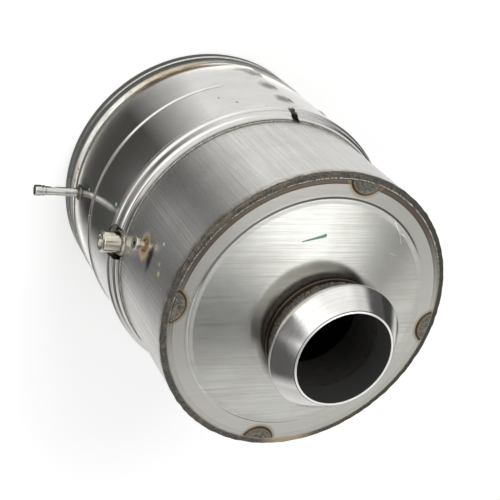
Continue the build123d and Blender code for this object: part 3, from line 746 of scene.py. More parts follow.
def seam_runs():
    points, faces = [], []
    along = np.linspace(-1, 1, 64)
    turn = np.linspace(0, 2 * math.pi, 16, endpoint=False)
    for number, middle in enumerate(SEAM_RUNS):
        swell = np.sqrt(np.maximum(1 - along**4, 0.0004))
        swell *= 0.86 + 0.14 * np.abs(np.cos(along * 11 + number)) + 0.06 * np.sin(along * 23 + number)
        first = len(points)
        for share, size in zip(along, swell):
            wander = 0.25 * math.sin(share * 5 + number)
            for t in turn:
                out = WRAP_RADIUS + 0.5 + RUN_HALF_DEPTH * size * math.cos(t)
                side = -0.5 + wander + RUN_HALF_WIDTH * size * math.sin(t)
                angle = math.radians(SEAM_ANGLE) + side / WRAP_RADIUS
                points.append(polar(out, angle, middle + RUN_HALF_LENGTH * share))
        ends = len(along) - 1
        for face in ring_faces(len(along), len(turn))[: ends * len(turn)]:
            faces.append(tuple(first + corner for corner in face))
        faces.append(tuple(first + k for k in range(len(turn))))
        faces.append(tuple(first + ends * len(turn) + k for k in reversed(range(len(turn)))))
    return make_object("seam_weld_runs", points, faces)


dress(seam_runs(), WELD_DARK, "weld_metal", "wrap_seam_welds")

# %% [markdown]
# Where the wrap's front edge meets the can, a thin bead closes the gap. It is open at the notch and
# at the boss's cut-out, where the sculpting function shrinks it into the can's wall.

# %% Weld along the wrap's front edge
EDGE_ROOT = CAN_RADIUS - 0.6
RADIAN = 57.3  # degrees
edge_corners = [
    (EDGE_ROOT, WRAP_FRONT - 0.4),
    (CAN_RADIUS + 1.5, WRAP_FRONT - 0.2, 0.4),
    (CAN_RADIUS + 1.4, WRAP_FRONT + 0.5, 0.4),
    (CAN_RADIUS + 0.5, WRAP_FRONT + 1.2, 0.4),
    (EDGE_ROOT, WRAP_FRONT + 1.3),
]


def beyond(angle, middle, reach):
    """0 within reach of an angle along the can's wall, 1 from 1.5 mm further on."""
    off = np.abs((angle - middle + 180) % 360 - 180) * CAN_RADIUS / RADIAN
    return smooth((off - reach) / 1.5)


def edge_sculpt(angle, radius, height):
    ripple = weld_sculpt(EDGE_ROOT, WRAP_FRONT, 2.4, 0.2, 0.08, 41)
    radius, height = ripple(angle, radius, height)
    size = beyond(angle, (NOTCH_FROM + NOTCH_TO) / 2, 3.6) * beyond(angle, BOSS_ANGLE, 10.5)
    return EDGE_ROOT + (radius - EDGE_ROOT) * size, height


edge_weld = spin("wrap_edge_weld_bead", soften(edge_corners, cuts=3), 1500, sculpt=edge_sculpt)
edge_metal = weld_metal("edge_weld", (0.20, 0.18, 0.15), (0.55, 0.54, 0.50), 0.1)
dress(edge_weld, weld_done(edge_metal), "weld_metal", "wrap_edge_weld")

# %% [markdown]
# ## Joint ring
#
# The joint ring is turned from solid steel: a wide land at the rear, a shallow groove for the clamp
# and a low bead that leads to the wrap. The lathe leaves fine rings round the axis, so highlights
# stretch along the axis. Heat has gilded the bead on one side, and two spots rust.

# %% Turned steel
LATHE_PITCH = 0.6


def turned_steel(name, origin, axis, colour, dirt):
    """An unfinished finish with lathe rings round the axis through origin."""
    f = Finish(name, colour)
    away = f.vector("SUBTRACT", f.place, origin)
    along = f.vector("DOT_PRODUCT", away, axis)
    shadow = f.vector("MULTIPLY", f.join(along, along, along), axis)
    f.out = f.vector("LENGTH", f.vector("SUBTRACT", away, shadow))
    rings = f.noise(f.join(f.out, along, 0.0), (1 / LATHE_PITCH, 1 / LATHE_PITCH, 1.0), rough=0.6)
    f.blotches = f.grain(0.08, 0.08, 0.08, detail=4.0, rough=0.6)
    f.stain(f.ramp(rings, 0.4, 0.7), tuple(0.6 * c for c in colour), 0.5)
    f.stain(f.ramp(f.blotches, 0.5, 0.8), BROWN, dirt)
    f.relief(f.times(rings, 0.012))
    normal = f.add("NewGeometry").outputs["Normal"]
    across = f.vector("CROSS_PRODUCT", axis, normal)
    f.blur_along(f.vector("CROSS_PRODUCT", normal, across), anisotropy=0.2)
    return f


def turned_done(f, rough):
    return f.done(rough=f.ramp(f.blotches, 0.3, 0.7, rough, rough + 0.1))


UPRIGHT = (0.0, 0.0, 1.0)
GROOVE_HEIGHT = 16.0
RUST_SPOTS = ((-143.6, 34.4), (-138.3, 32.5))  # angle and height


def joint_steel():
    f = turned_steel("joint_steel", (0.0, 0.0, 0.0), UPRIGHT, STEEL, dirt=0.2)
    gilded_side = f.spot(*HOT_SIDE, 42.0, 0.8)
    bead = f.ramp(f.height, 20.5, 23.5)
    f.stain(f.times(gilded_side, bead), (0.33, 0.27, 0.18), 0.85)
    f.stain(f.times(gilded_side, f.specks(2.2, 0.10)), (0.12, 0.07, 0.03), 0.8)
    brown_line = f.times(f.ramp(f.height, 31.5, 34.5), f.ramp(f.grain(0.1, 0.1, 0.3), 0.35, 0.5))
    f.stain(f.times(gilded_side, brown_line), (0.09, 0.055, 0.03), 0.85)
    for angle, place in RUST_SPOTS:
        f.stain(f.wall_patch(angle, place, WRAP_RADIUS, 2.6, 3.2, 0.9, ragged=0.6), (0.55, 0.40, 0.22), 0.7)
        f.stain(f.wall_patch(angle, place, WRAP_RADIUS, 1.3, 1.5, 0.6), (0.30, 0.09, 0.02))
    # Painted shade: a light darkening over the groove, where shade falls.
    f.stain(f.near(f.height, GROOVE_HEIGHT, 3.5, 4.5), SOOT_AND_SHADE, 0.3)
    return turned_done(f, 0.10)


# %% [markdown]
# The ring is as long as the CAD ring. Its groove and bead are drawn shallower here, which gives the
# bands of tone that the photograph shows. Each corner is broken as a lathe tool breaks it.

# %% Joint ring
RING_BORE = CAN_RADIUS - SHEET - 2.9
RING_FRONT = box_mm("rear_flange")[1].z
ring_corners = [
    (RING_BORE, 0.0, 0.4),
    (WRAP_RADIUS + 0.2, 0.0, 0.8),
    (WRAP_RADIUS + 0.4, 10.8, 0.4),
    (WRAP_RADIUS - 0.7, 11.9, 0.4),
    (WRAP_RADIUS - 0.9, 20.0, 0.8),
    (WRAP_RADIUS + 0.4, 22.6, 1.0),
    (WRAP_RADIUS, 30.0, 3.0),
    (WRAP_RADIUS, RING_FRONT, 0.4),
    (CAN_RADIUS + 0.2, RING_FRONT, 0.3),
    (CAN_RADIUS + 0.2, 4.0, 0.2),
    (RING_BORE, 4.0, 0.3),
]
joint_ring = spin("joint_ring", soften(ring_corners, cuts=5))
dress(joint_ring, joint_steel(), "joint_steel", "rear_flange")

# %% [markdown]
# The weld between ring and wrap is low and even, and heat has browned it on the ring's gilded side.

# %% Weld of the joint ring
RING_WELD_ROOT = WRAP_RADIUS - 1.6
ring_weld_corners = [
    (RING_WELD_ROOT, RING_FRONT),
    (WRAP_RADIUS + 0.5, RING_FRONT + 0.4, 0.8),
    (WRAP_RADIUS + 1.0, RING_FRONT + 2.4, 1.2),
    (WRAP_RADIUS + 0.6, RING_FRONT + 4.4, 0.8),
    (WRAP_RADIUS, RING_FRONT + 5.3),
    (RING_WELD_ROOT, WRAP_REAR),
]
ring_weld_shape = weld_sculpt(RING_WELD_ROOT, RING_FRONT + 2.7, 2.2, 0.08, 0.05, 33)
ring_weld = spin("joint_ring_weld", soften(ring_weld_corners, cuts=3), 1800, sculpt=ring_weld_shape)
ring_weld_metal = weld_metal("ring_weld", (0.22, 0.19, 0.15), (0.55, 0.52, 0.47), 0.3)
ring_weld_metal.stain(ring_weld_metal.spot(*HOT_SIDE, 42.0, 0.8), HEAT_BROWN, 0.85)
dress(ring_weld, weld_done(ring_weld_metal), "weld_metal", "rear_flange_weld")

# %% [markdown]
# ## End plate
#
# The plate was pressed from a sheet brushed in straight lines, so its grain crosses the whole face
# in one direction and its highlights stretch across that. Masks for it are strokes between two
# points: a tapered stroke of green marker, and thin white scratches. Round the four plug welds and
# at the neck's collar, heat has darkened it. Painted shade darkens the flat rim, most on the
# camera's side, a thin line along the step on one side, and a wide ring round the collar's foot,
# where the plate bends up.

# %% Masks on the plate
GRAIN_ANGLE = 45.3
PLUG_ANGLES = (124.4, 38.4, -54.3, -140.0)
PLUG_REACH = 18.0


def stroke(f, start, end, half_start, half_end):
    """A mask along a stroke between two points of the plate, from one half width to another."""
    run, rise = end[0] - start[0], end[1] - start[1]
    length = math.hypot(run, rise)
    away = f.vector("SUBTRACT", f.flat, (*start, 0.0))
    along = f.vector("DOT_PRODUCT", away, (run / length, rise / length, 0.0))
    side = f.vector("DOT_PRODUCT", away, (-rise / length, run / length, 0.0))
    half = f.ramp(along, 0.0, length, half_start, half_end)
    inside = f.ramp(f.math("SUBTRACT", f.math("ABSOLUTE", side), half), 0.3, -0.3)
    return f.times(inside, f.ramp(along, -0.6, 0.3), f.ramp(along, length + 0.6, length - 0.3))


def heavy_side(f):
    """1 on the side where the corner weld is hot and wide, less on the far side."""
    return f.ramp(f.towards(-0.8, 0.6), -20.0, 80.0, 0.1, 1.0)


def from_plugs(f):
    """How far a point is from the nearest centre of a plug weld."""
    nearest = 999.0
    for angle in PLUG_ANGLES:
        centre = polar(PLATE_RADIUS, math.radians(angle), 0.0)
        nearest = f.math("MINIMUM", f.vector("DISTANCE", f.flat, centre), nearest)
    return nearest


# %% [markdown]
# The dish of the plate is an oblique cone: each of its rings is a circle whose centre moves from the
# canister's axis to the neck's. Solving that circle for a point gives how far up the dish it lies.
# The sheet has bulged a little more there from the heat of welding. A few degrees of slope hardly
# change its outline but decide what it reflects, so they are given as relief.

# %% How far up the dish
STEP_RADIUS = PLATE_RADIUS - 24.2
NECK_RADIUS = 57.15
COLLAR_RADIUS = NECK_RADIUS + 2.2
COLLAR_FOOT = COLLAR_RADIUS + 8.65
DISH_START = STEP_RADIUS - 6.0
DISH_BULGE = 2.4


def up_the_dish(f):
    """0 outside the dish, 1 at the collar's foot, and on at the same rate up to the collar."""
    shrink = DISH_START - COLLAR_FOOT
    square = shrink**2 - NECK_X**2
    x = f.split(f.place)[0]
    middle = shrink * DISH_START
    half_b = f.ramp(x, -200.0, 200.0, middle + 200 * NECK_X, middle - 200 * NECK_X)
    left = f.math("SUBTRACT", DISH_START**2, f.times(f.away, f.away))
    under_root = f.math("SUBTRACT", f.times(half_b, half_b), f.times(left, square))
    root = f.math("SQRT", f.math("MAXIMUM", under_root, 0.0))
    return f.ramp(f.math("SUBTRACT", half_b, root), 0.0, 1.3 * square, 0.0, 1.3)


# %% Steel of the plate
TINT_RADIUS = 141.2  # inner edge of the corner weld's brown tint
MARKER_GREEN = (0.07, 0.15, 0.11)
SCRATCHES = (
    ((-23.5, 121.5), (-9.0, 119.5), 0.5),
    ((-9.0, 119.5), (3.2, 114.7), 0.35),
    ((-9.0, 119.5), (-2.0, 121.8), 0.45),
    ((10.0, 104.0), (3.0, 100.5), 0.3),
)


def plate_steel():
    f = Finish("plate_steel", (0.62, 0.62, 0.59))
    along = polar(1.0, math.radians(GRAIN_ANGLE), 0.0)
    across = polar(1.0, math.radians(GRAIN_ANGLE + 90.0), 0.0)
    grain = f.join(f.vector("DOT_PRODUCT", f.place, along), f.vector("DOT_PRODUCT", f.place, across), 0.0)
    fine = f.noise(grain, (0.015, 2.4, 1.0), detail=4.0, rough=0.7)
    coarse = f.noise(grain, (0.006, 0.35, 1.0), detail=3.0, rough=0.6)
    brush = f.math("ADD", f.times(fine, 0.65), f.times(coarse, 0.35))
    f.stain(f.ramp(brush, 0.42, 0.62), DULL_STEEL, 0.45)
    f.stain(f.ramp(f.grain(0.03, 0.03, 0.03, detail=4.0), 0.4, 0.8), (0.40, 0.385, 0.34), 0.5)
    # Painted shade: the flat rim outside the step is darkened, most on the camera's side.
    rim_shade_side = f.ramp(f.towards(-0.87, 0.5), -30.0, 110.0)
    rim_painted_shade = f.mix(rim_shade_side, (0.56, 0.55, 0.515), (0.36, 0.35, 0.32))
    f.stain(f.ramp(f.away, STEP_RADIUS - 0.5, STEP_RADIUS + 1.0), rim_painted_shade, 0.75)
    # Painted shade: a thin dark line along the step, on one side only.
    upper = f.ramp(f.towards(-0.82, 0.57), 40.0, 62.0)
    f.stain(f.times(f.near(f.away, STEP_RADIUS, 0.7, 1.2), upper), SOOT_AND_SHADE, 0.85)
    heavy = heavy_side(f)
    f.stain(f.times(f.ramp(f.away, TINT_RADIUS - 0.2, TINT_RADIUS + 1.0), heavy), (0.09, 0.062, 0.04), 0.9)
    f.stain(f.times(f.near(f.away, TINT_RADIUS, 0.5, 0.9), heavy), SOOT_AND_SHADE, 0.9)
    plug = from_plugs(f)
    f.stain(f.ramp(plug, PLUG_REACH + 5.0, PLUG_REACH + 1.0), (0.26, 0.21, 0.12), 0.75)
    f.stain(f.ramp(plug, PLUG_REACH + 1.5, PLUG_REACH + 0.6), (0.07, 0.045, 0.03), 0.95)
    from_neck = f.vector("DISTANCE", f.flat, (NECK_X, 0.0, 0.0))
    # Painted shade: a wide dark ring round the collar's foot, where the plate bends up. The brown line next
    # to the collar is heat tint.
    f.stain(f.ramp(from_neck, COLLAR_FOOT + 2.0, COLLAR_RADIUS + 1.5), (0.05, 0.045, 0.04), 0.92)
    f.stain(f.ramp(from_neck, COLLAR_RADIUS + 1.6, COLLAR_RADIUS + 0.4), (0.09, 0.06, 0.035), 0.9)
    pen = stroke(f, (-77.0, 37.7), (-65.6, 58.0), 0.6, 1.8)
    f.stain(f.math("MAXIMUM", pen, f.spot(-65.4, 58.6, 2.0, 0.4)), MARKER_GREEN, 0.95)
    for start, end, half in SCRATCHES:
        f.stain(stroke(f, start, end, half, half), (0.9, 0.9, 0.88), 0.85)
    f.stain(f.specks(0.9, 0.0, seed=7.0), SOOT_AND_SHADE, 0.55)
    f.relief(f.math("ADD", f.times(up_the_dish(f), DISH_BULGE), f.times(brush, 0.02)))
    normal = f.add("NewGeometry").outputs["Normal"]
    f.blur_along(f.vector("CROSS_PRODUCT", normal, along), anisotropy=0.55)
    return f.done(rough=f.ramp(brush, 0.38, 0.64, 0.14, 0.22))


# %% [markdown]
# The plate's own shape is spun, but each ring may have its own centre, which gives the oblique dish
# and the off-centre collar in one mesh. The underside is the same outline one wall lower.

# %% End plate
STEP_RISE, DISH_RISE = 0.9, 2.1
COLLAR_TOP = plate_high.z


def plate_outline():
    top = PLATE_FACE + STEP_RISE
    rim = [(PLATE_RADIUS, PLATE_FACE), (STEP_RADIUS + 0.5, PLATE_FACE, 0.3), (STEP_RADIUS - 0.5, top, 0.5)]
    rim = stepped(soften(rim + [(DISH_START, top)], closed=False), 3.0)
    rows = [(radius, height, 0.0) for radius, height in rim]
    for t in np.linspace(0, 1, 26)[1:]:
        radius = (1 - t) * DISH_START + t * COLLAR_FOOT
        rows.append((radius, top + (DISH_RISE - 0.05) * t, NECK_X * t))
    foot = PLATE_FACE + STEP_RISE + DISH_RISE
    bend = [
        (COLLAR_FOOT, foot),
        (COLLAR_RADIUS + 3.2, foot + 0.13),
        (COLLAR_RADIUS, foot + 0.2, 2.6),
        (COLLAR_RADIUS, COLLAR_TOP),
    ]
    rows += [(r, z, NECK_X) for r, z in soften(bend, closed=False, cuts=10)[1:]]
    outer = np.array(rows)
    inner = outer[::-1].copy()
    inner[:, 1] -= PLATE_SHEET
    inner[:, 0] -= np.where(inner[:, 0] < COLLAR_RADIUS + 2.0, PLATE_SHEET, 0.0)
    return np.concatenate([outer, inner])


dress(spin("end_plate_pressing", plate_outline()), plate_steel(), "plate_steel", "end_plate")

# %% [markdown]
# ## Corner weld and plug welds
#
# The weld round the corner of can and plate is a heavy hand-made run. It is a spun outline with
# 2600 steps, so that each ripple has a few points of its own. A smooth brown strip runs
# along its inner side, with a line of bare bright grains between the two.

# %% Corner weld
TOE_RADIUS = CAN_RADIUS - 8.0
corner_outline = [
    (CAN_RADIUS - 0.3, PLATE_FACE - 2.6),
    (CAN_RADIUS + 0.35, PLATE_FACE - 2.3, 0.4),
    (CAN_RADIUS + 0.7, PLATE_FACE - 0.9, 1.0),
    (CAN_RADIUS - 1.0, PLATE_FACE + 1.25, 1.6),
    (TOE_RADIUS + 4.6, PLATE_FACE + 1.5, 1.6),
    (TOE_RADIUS + 1.9, PLATE_FACE + 0.75, 0.7),
    (TOE_RADIUS + 1.2, PLATE_FACE + 0.8, 0.6),
    (TOE_RADIUS, PLATE_FACE - 0.2),
]


def corner_metal():
    f = weld_metal("corner_weld", (0.035, 0.032, 0.028), (0.16, 0.15, 0.135), 0.15, 0.05)
    far_side = f.ramp(f.towards(0.72, 0.69), 40.0, 110.0)
    f.stain(far_side, (0.06, 0.056, 0.04), 0.85)
    f.stain(f.spot(110.0, -96.0, 22.0, 0.8), (0.50, 0.40, 0.26), 0.7)
    heavy = heavy_side(f)
    strip = f.ramp(f.away, TOE_RADIUS + 2.0, TOE_RADIUS + 1.4)
    f.stain(strip, (0.45, 0.43, 0.38), 0.9)
    f.stain(f.times(strip, heavy), (0.07, 0.05, 0.032), 0.9)
    grains = f.times(f.near(f.away, TOE_RADIUS + 2.2, 0.35, 0.75), f.specks(1.1, 0.22, seed=3.0), heavy)
    f.stain(grains, (0.85, 0.83, 0.80))
    return weld_done(f)


corner_shape = weld_sculpt(CAN_RADIUS - 4.0, PLATE_FACE - 1.0, 1.9, 0.07, 0.05, 21)
corner_bead = spin("corner_weld_bead", soften(corner_outline, cuts=4), 2600, sculpt=corner_shape)
dress(corner_bead, corner_metal(), "weld_metal", "plate_weld")

# %% [markdown]
# Four plug welds tie the inner plate on, each a half-moon that runs under the corner weld. A height
# is worked out for each point from its distance to the blob's edge: a steep side, a raised lip and a
# rough, slightly sunken middle. The upper and lower skins are joined by the routine that makes the
# rolled sheets.

# %% Plug welds
def plug_height(edge, across, number):
    lip = 1.5 * smooth(edge / 1.3) - 0.55 * smooth((edge - 1.8) / 1.6)
    rough = waves(across * 40, 3, 14, 8, 60 + number) * waves(edge * 30, 2, 9, 6, 80 + number)
    return lip + 0.35 * smooth((edge - 1.0) / 2.0) * rough


def plug_blobs():
    points, faces = [], []
    half = 6.6
    across, along = np.radians(np.linspace(-half, half, 80)), np.linspace(0, 1, 26)
    off, share = np.meshgrid(across, along, indexing="ij")
    for number, middle in enumerate(PLUG_ANGLES):
        inner = PLATE_RADIUS * np.cos(off) - np.sqrt(PLUG_REACH**2 - (PLATE_RADIUS * np.sin(off)) ** 2)
        radius = inner + share * (TOE_RADIUS + 1.0 - inner)
        edge = PLUG_REACH - np.hypot(radius * np.cos(off) - PLATE_RADIUS, radius * np.sin(off))
        rise = plug_height(edge, np.degrees(off), number)
        turn = off + math.radians(middle)
        first = len(points)
        for height in (PLATE_FACE + rise, PLATE_FACE - 0.3 + 0 * rise):
            points += np.stack(polar(radius, turn, height), -1).reshape(-1, 3).tolist()
        kept = np.ones((off.shape[0] - 1, off.shape[1] - 1), bool)
        faces += [tuple(first + corner for corner in face[::-1]) for face in skin_faces(kept, off.shape)]
    return make_object("plug_weld_blobs", points, faces)


def plug_metal():
    f = weld_metal("plug_weld", (0.06, 0.055, 0.045), (0.26, 0.25, 0.22), 0.2, 0.05)
    plug = from_plugs(f)
    f.stain(f.ramp(plug, PLUG_REACH - 2.6, PLUG_REACH - 1.8), (0.24, 0.18, 0.11), 0.7)
    f.stain(f.ramp(plug, PLUG_REACH - 1.2, PLUG_REACH - 0.6), (0.06, 0.04, 0.03), 0.9)
    return weld_done(f)


dress(plug_blobs(), plug_metal(), "weld_metal", "plug_welds")

# %% [markdown]
# ## Gas neck
#
# The clamp flange is turned from bar: a steep cone at the back, a narrow ridge and a long cone to the
# mouth. Round the mouth's edge a bright ring is a painted highlight, with a thin line of painted shade
# outside it.

# %% Steel of the clamp flange
HUB_REAR, NOSE_FRONT = hub_low.z, hub_high.z
HUB_RADIUS = NECK_RADIUS + 3.85
RIDGE_RADIUS = hub_high.x - NECK_X
NOSE_BORE = 50.5


def clamp_steel():
    f = turned_steel("clamp_flange_steel", (NECK_X, 0.0, 0.0), UPRIGHT, (0.66, 0.65, 0.63), dirt=0.1)
    f.stain(f.specks(1.6, 0.05), SOOT_AND_SHADE, 0.35)
    # Painted shade and highlight: a thin dark line on the cone round the mouth, then a bright ring on its
    # edge.
    f.stain(f.ramp(f.out, NOSE_BORE + 3.1, NOSE_BORE + 2.4), SOOT_AND_SHADE, 0.85)
    f.stain(f.ramp(f.out, NOSE_BORE + 2.2, NOSE_BORE + 1.8), (0.95, 0.94, 0.92))
    bore = f.ramp(f.out, NOSE_BORE + 0.5, NOSE_BORE + 0.2)
    f.stain(f.times(bore, f.ramp(f.height, NOSE_FRONT - 0.6, NOSE_FRONT - 1.2)), (0.022, 0.021, 0.02), 0.95)
    f.stain(f.ramp(f.height, HUB_REAR + 3.0, HUB_REAR + 2.0), (0.16, 0.11, 0.06), 0.85)
    rough = f.ramp(f.blotches, 0.3, 0.7, 0.10, 0.2)
    return f.done(metal=f.rest(f.times(bore, 0.7)), rough=rough)


# %% Clamp flange
clamp_corners = [
    (NECK_RADIUS + 0.2, HUB_REAR, 0.2),
    (HUB_RADIUS, HUB_REAR, 0.6),
    (HUB_RADIUS, HUB_REAR + 6.5, 0.8),
    (RIDGE_RADIUS, HUB_REAR + 12.5, 0.6),
    (RIDGE_RADIUS, HUB_REAR + 15.5, 0.8),
    (NOSE_BORE + 2.2, NOSE_FRONT - 0.2, 0.5),
    (NOSE_BORE, NOSE_FRONT, 0.4),
    (NOSE_BORE, HUB_REAR + 6.0),
    (NECK_RADIUS + 0.2, HUB_REAR + 6.0),
]
clamp_flange = spin("neck_clamp_flange", soften(clamp_corners), centre=NECK_X)
dress(clamp_flange, clamp_steel(), "flange_steel", "neck_flange")

# %% [markdown]
# The weld between the drawn collar and the flange is wide and coarse. Its skin needs points in both
# directions, so its outline is divided before it is spun, and thin golden lines of heat tint mark
# both its edges.

# %% Neck weld
neck_corners = [
    (NECK_RADIUS, COLLAR_TOP - 0.6),
    (NECK_RADIUS + 2.4, COLLAR_TOP - 0.2, 0.6),
    (NECK_RADIUS + 3.4, COLLAR_TOP + 1.6, 1.0),
    (NECK_RADIUS + 3.4, HUB_REAR - 1.6, 1.0),
    (NECK_RADIUS + 2.6, HUB_REAR, 0.4),
    (NECK_RADIUS, HUB_REAR),
]


def neck_metal():
    f = weld_metal("neck_weld", (0.045, 0.042, 0.038), (0.25, 0.24, 0.22), 0.05, 0.05)
    for edge, inwards in ((COLLAR_TOP, 1.0), (HUB_REAR, -1.0)):
        f.stain(f.ramp(f.height, edge + 1.3 * inwards, edge + 0.7 * inwards), (0.12, 0.08, 0.045), 0.9)
    return weld_done(f)


neck_outline = stepped(soften(neck_corners, cuts=4), 0.9, closed=True)
neck_shape = weld_sculpt(NECK_RADIUS - 3.0, (COLLAR_TOP + HUB_REAR) / 2, 2.0, 0.05, 0.06, 52)
neck_bead = spin("neck_weld_bead", neck_outline, 1300, NECK_X, neck_shape)
dress(neck_bead, neck_metal(), "weld_metal", "neck_weld")

# %% [markdown]
# ## Side fittings
#
# Boss, port and tube stand straight out of the canister's side. The same lathe idea serves them with
# its axis laid over. A weld at the foot of a fitting has to follow the round wall, so its points
# slide in by as much as the wall curves away from them.

# %% A lathe that lies on its side
def wall_drop(side, wall):
    """How far a round wall lies back at a distance to the side."""
    return wall - np.sqrt(wall**2 - side**2)


def side_turned(name, angle, height, outline, steps, sculpt=None, wall=None):
    """A closed outline of (radius, distance from the main axis) turned round a fitting's own axis."""
    out = np.array(polar(1.0, math.radians(angle), 0.0))
    side = np.array(polar(1.0, math.radians(angle + 90.0), 0.0))
    spinning = np.linspace(0, 2 * math.pi, steps, endpoint=False)[:, None, None]
    radius, reach = outline[None, :, 0, None], outline[None, :, 1, None]
    if sculpt:
        radius, reach = sculpt(spinning, radius, reach)
    if wall:
        reach = reach - wall_drop(radius * np.cos(spinning), wall)
    points = reach * out + radius * (np.cos(spinning) * side + np.sin(spinning) * np.array(UPRIGHT))
    points[..., 2] += height
    return make_object(name, points.reshape(-1, 3), ring_faces(steps, len(outline)))


def fitting_steel(name, angle, height, colour=(0.60, 0.57, 0.49), rough=0.12, dirt=0.2):
    axis = polar(1.0, math.radians(angle), 0.0)
    return turned_done(turned_steel(name, (0.0, 0.0, height), axis, colour, dirt), rough)


def foot_weld(name, finish, node, place, stem, leg, wall=CAN_RADIUS):
    """A rippled bead round the foot of a fitting at (angle, height) on a round wall."""
    root = stem - 0.3
    corners = [
        (root, wall + leg),
        (stem + 0.5 * leg, wall + 0.75 * leg, 0.4 * leg),
        (stem + 0.9 * leg, wall + 0.2 * leg, 0.3 * leg),
        (stem + leg, wall - 0.3),
        (root, wall - 0.3),
    ]

    def ripple(spinning, radius, reach):
        around = np.degrees(spinning)
        swell = 1 - 0.16 * (1 - scallops(around, stem + leg, 1.8, 70)) + 0.08 * waves(around, 3, 9, 6, 71)
        return root + (radius - root) * swell, wall + (reach - wall) * swell

    bead = side_turned(name, *place, soften(corners, cuts=4), 180, ripple, wall)
    dress(bead, finish, "weld_metal", node)


# %% [markdown]
# The sensor boss has a real helical thread in its mouth. The bore's wall goes in and out once a
# pitch, and a turn round the bore moves the pattern on by one pitch, which makes it a helix.

# %% Sensor boss
BOSS_RADIUS, BOSS_BORE = 11.25, 6.2
BOSS_TIP = CAN_RADIUS + 21.4
THREAD_PITCH, THREAD_DEPTH = 1.5, 0.45


def boss_outline():
    outer = soften([
        (BOSS_BORE, BOSS_TIP - 1.0, 0.2),
        (BOSS_BORE + 1.0, BOSS_TIP, 0.3),
        (BOSS_RADIUS - 1.8, BOSS_TIP, 0.5),
        (BOSS_RADIUS, BOSS_TIP - 1.8, 0.6),
        (BOSS_RADIUS, CAN_RADIUS - 1.0),
        (BOSS_BORE + 0.8, CAN_RADIUS - 1.0),
    ], closed=False)
    bore = np.array([(BOSS_BORE, CAN_RADIUS - 1.0), (BOSS_BORE, BOSS_TIP - 1.2)])
    return np.concatenate([outer, stepped(bore, THREAD_PITCH / 8)])


def cut_thread(spinning, radius, reach):
    wall = (radius < BOSS_BORE + 0.01) & (reach < BOSS_TIP - 1.1)
    phase = (reach / THREAD_PITCH + spinning / (2 * math.pi)) % 1.0
    groove = np.abs(phase - 0.5) * 2.0
    return np.where(wall, BOSS_BORE + THREAD_DEPTH * groove, radius + 0 * spinning), reach + 0 * spinning


boss = side_turned("sensor_boss_turned", *BOSS, boss_outline(), 144, cut_thread)
dress(boss, fitting_steel("boss_steel", *BOSS), "fitting_steel", "sensor_boss")
boss_weld = weld_metal("boss_weld", (0.12, 0.105, 0.075), (0.36, 0.33, 0.26), 0.1)
boss_toe = boss_weld.wall_patch(*BOSS, CAN_RADIUS, 13.6, 13.6, 0.05)
boss_weld.stain(boss_weld.rest(boss_toe), (0.62, 0.60, 0.53), 0.8)
foot_weld("sensor_boss_bead", weld_done(boss_weld), "sensor_boss_weld", BOSS, BOSS_RADIUS, 3.2)

# %% [markdown]
# The pressure port is a short nipple with a stop ring at its mouth.

# %% Pressure port
PORT_TIP = CAN_RADIUS + 11.8
PORT_BORE, PORT_STEM, PORT_STOP = 2.5, 4.5, 6.5  # radii
port_corners = [
    (PORT_BORE, CAN_RADIUS - 0.5),
    (PORT_STEM, CAN_RADIUS - 0.5),
    (PORT_STEM, PORT_TIP - 4.5, 0.5),
    (PORT_STOP, PORT_TIP - 4.3, 0.8),
    (PORT_STOP, PORT_TIP, 0.9),
    (PORT_BORE, PORT_TIP, 0.3),
]
port = side_turned("pressure_port_turned", *PORT, soften(port_corners), 96)
dress(port, fitting_steel("port_steel", *PORT), "fitting_steel", "pressure_port")
foot_weld("pressure_port_bead", WELD_BROWN, "pressure_port_weld", PORT, PORT_STEM, 2.1)

# %% [markdown]
# The pressure tube goes through the wrap and the can. A washer closes its hole in the wrap. Near its
# end it has a formed ring, then a short groove and a rounded head, which hold a hose.

# %% Pressure tube and its washer
TUBE_END = CAN_RADIUS + 58.1
TUBE_BORE, TUBE_RADIUS, TUBE_RING, TUBE_HEAD = 3.8, 5.0, 5.8, 6.0  # radii
tube_corners = [
    (TUBE_BORE, CAN_RADIUS - 3.9),
    (TUBE_RADIUS, CAN_RADIUS - 3.9),
    (TUBE_RADIUS, TUBE_END - 11.8, 0.3),
    (TUBE_RING, TUBE_END - 11.3, 0.4),
    (TUBE_RING, TUBE_END - 8.9, 0.4),
    (TUBE_RADIUS, TUBE_END - 8.6, 0.2),
    (TUBE_RADIUS, TUBE_END - 7.6, 0.2),
    (TUBE_HEAD, TUBE_END - 7.4, 0.6),
    (TUBE_HEAD, TUBE_END, 1.3),
    (TUBE_BORE, TUBE_END, 0.5),
]
tube = side_turned("pressure_tube_turned", *TUBE, soften(tube_corners), 96)
tube_steel = fitting_steel("tube_steel", *TUBE, (0.62, 0.61, 0.58), 0.08, 0.1)
dress(tube, tube_steel, "fitting_steel", "pressure_tube")

WASHER_RADIUS, WASHER_TOP = 9.0, WRAP_RADIUS + 1.6
washer_corners = [
    (TUBE_HOLE, WRAP_RADIUS - 0.1),
    (WASHER_RADIUS, WRAP_RADIUS - 0.1),
    (WASHER_RADIUS, WRAP_RADIUS + 0.9, 0.4),
    (WASHER_RADIUS - 1.0, WASHER_TOP, 0.5),
    (TUBE_HOLE, WASHER_TOP),
]
washer = side_turned("tube_washer_pressed", *TUBE, soften(washer_corners), 96, wall=WRAP_RADIUS)
washer_steel = fitting_steel("washer_steel", *TUBE, (0.32, 0.30, 0.25), 0.28, 0.6)
dress(washer, washer_steel, "fitting_steel", "tube_washer")
foot_weld("tube_bead", WELD_BROWN, "tube_weld", TUBE, TUBE_RADIUS, 1.7, WASHER_TOP)

# %% [markdown]
# ## Inside
#
# What lies inside keeps its CAD shape and only gets a finish: sooty liner steel, fibre blanket, the
# swelling mat, knitted wire and the honeycomb, whose square channels are drawn by a repeating mask,
# because tens of thousands of real ones would only weigh the model down.

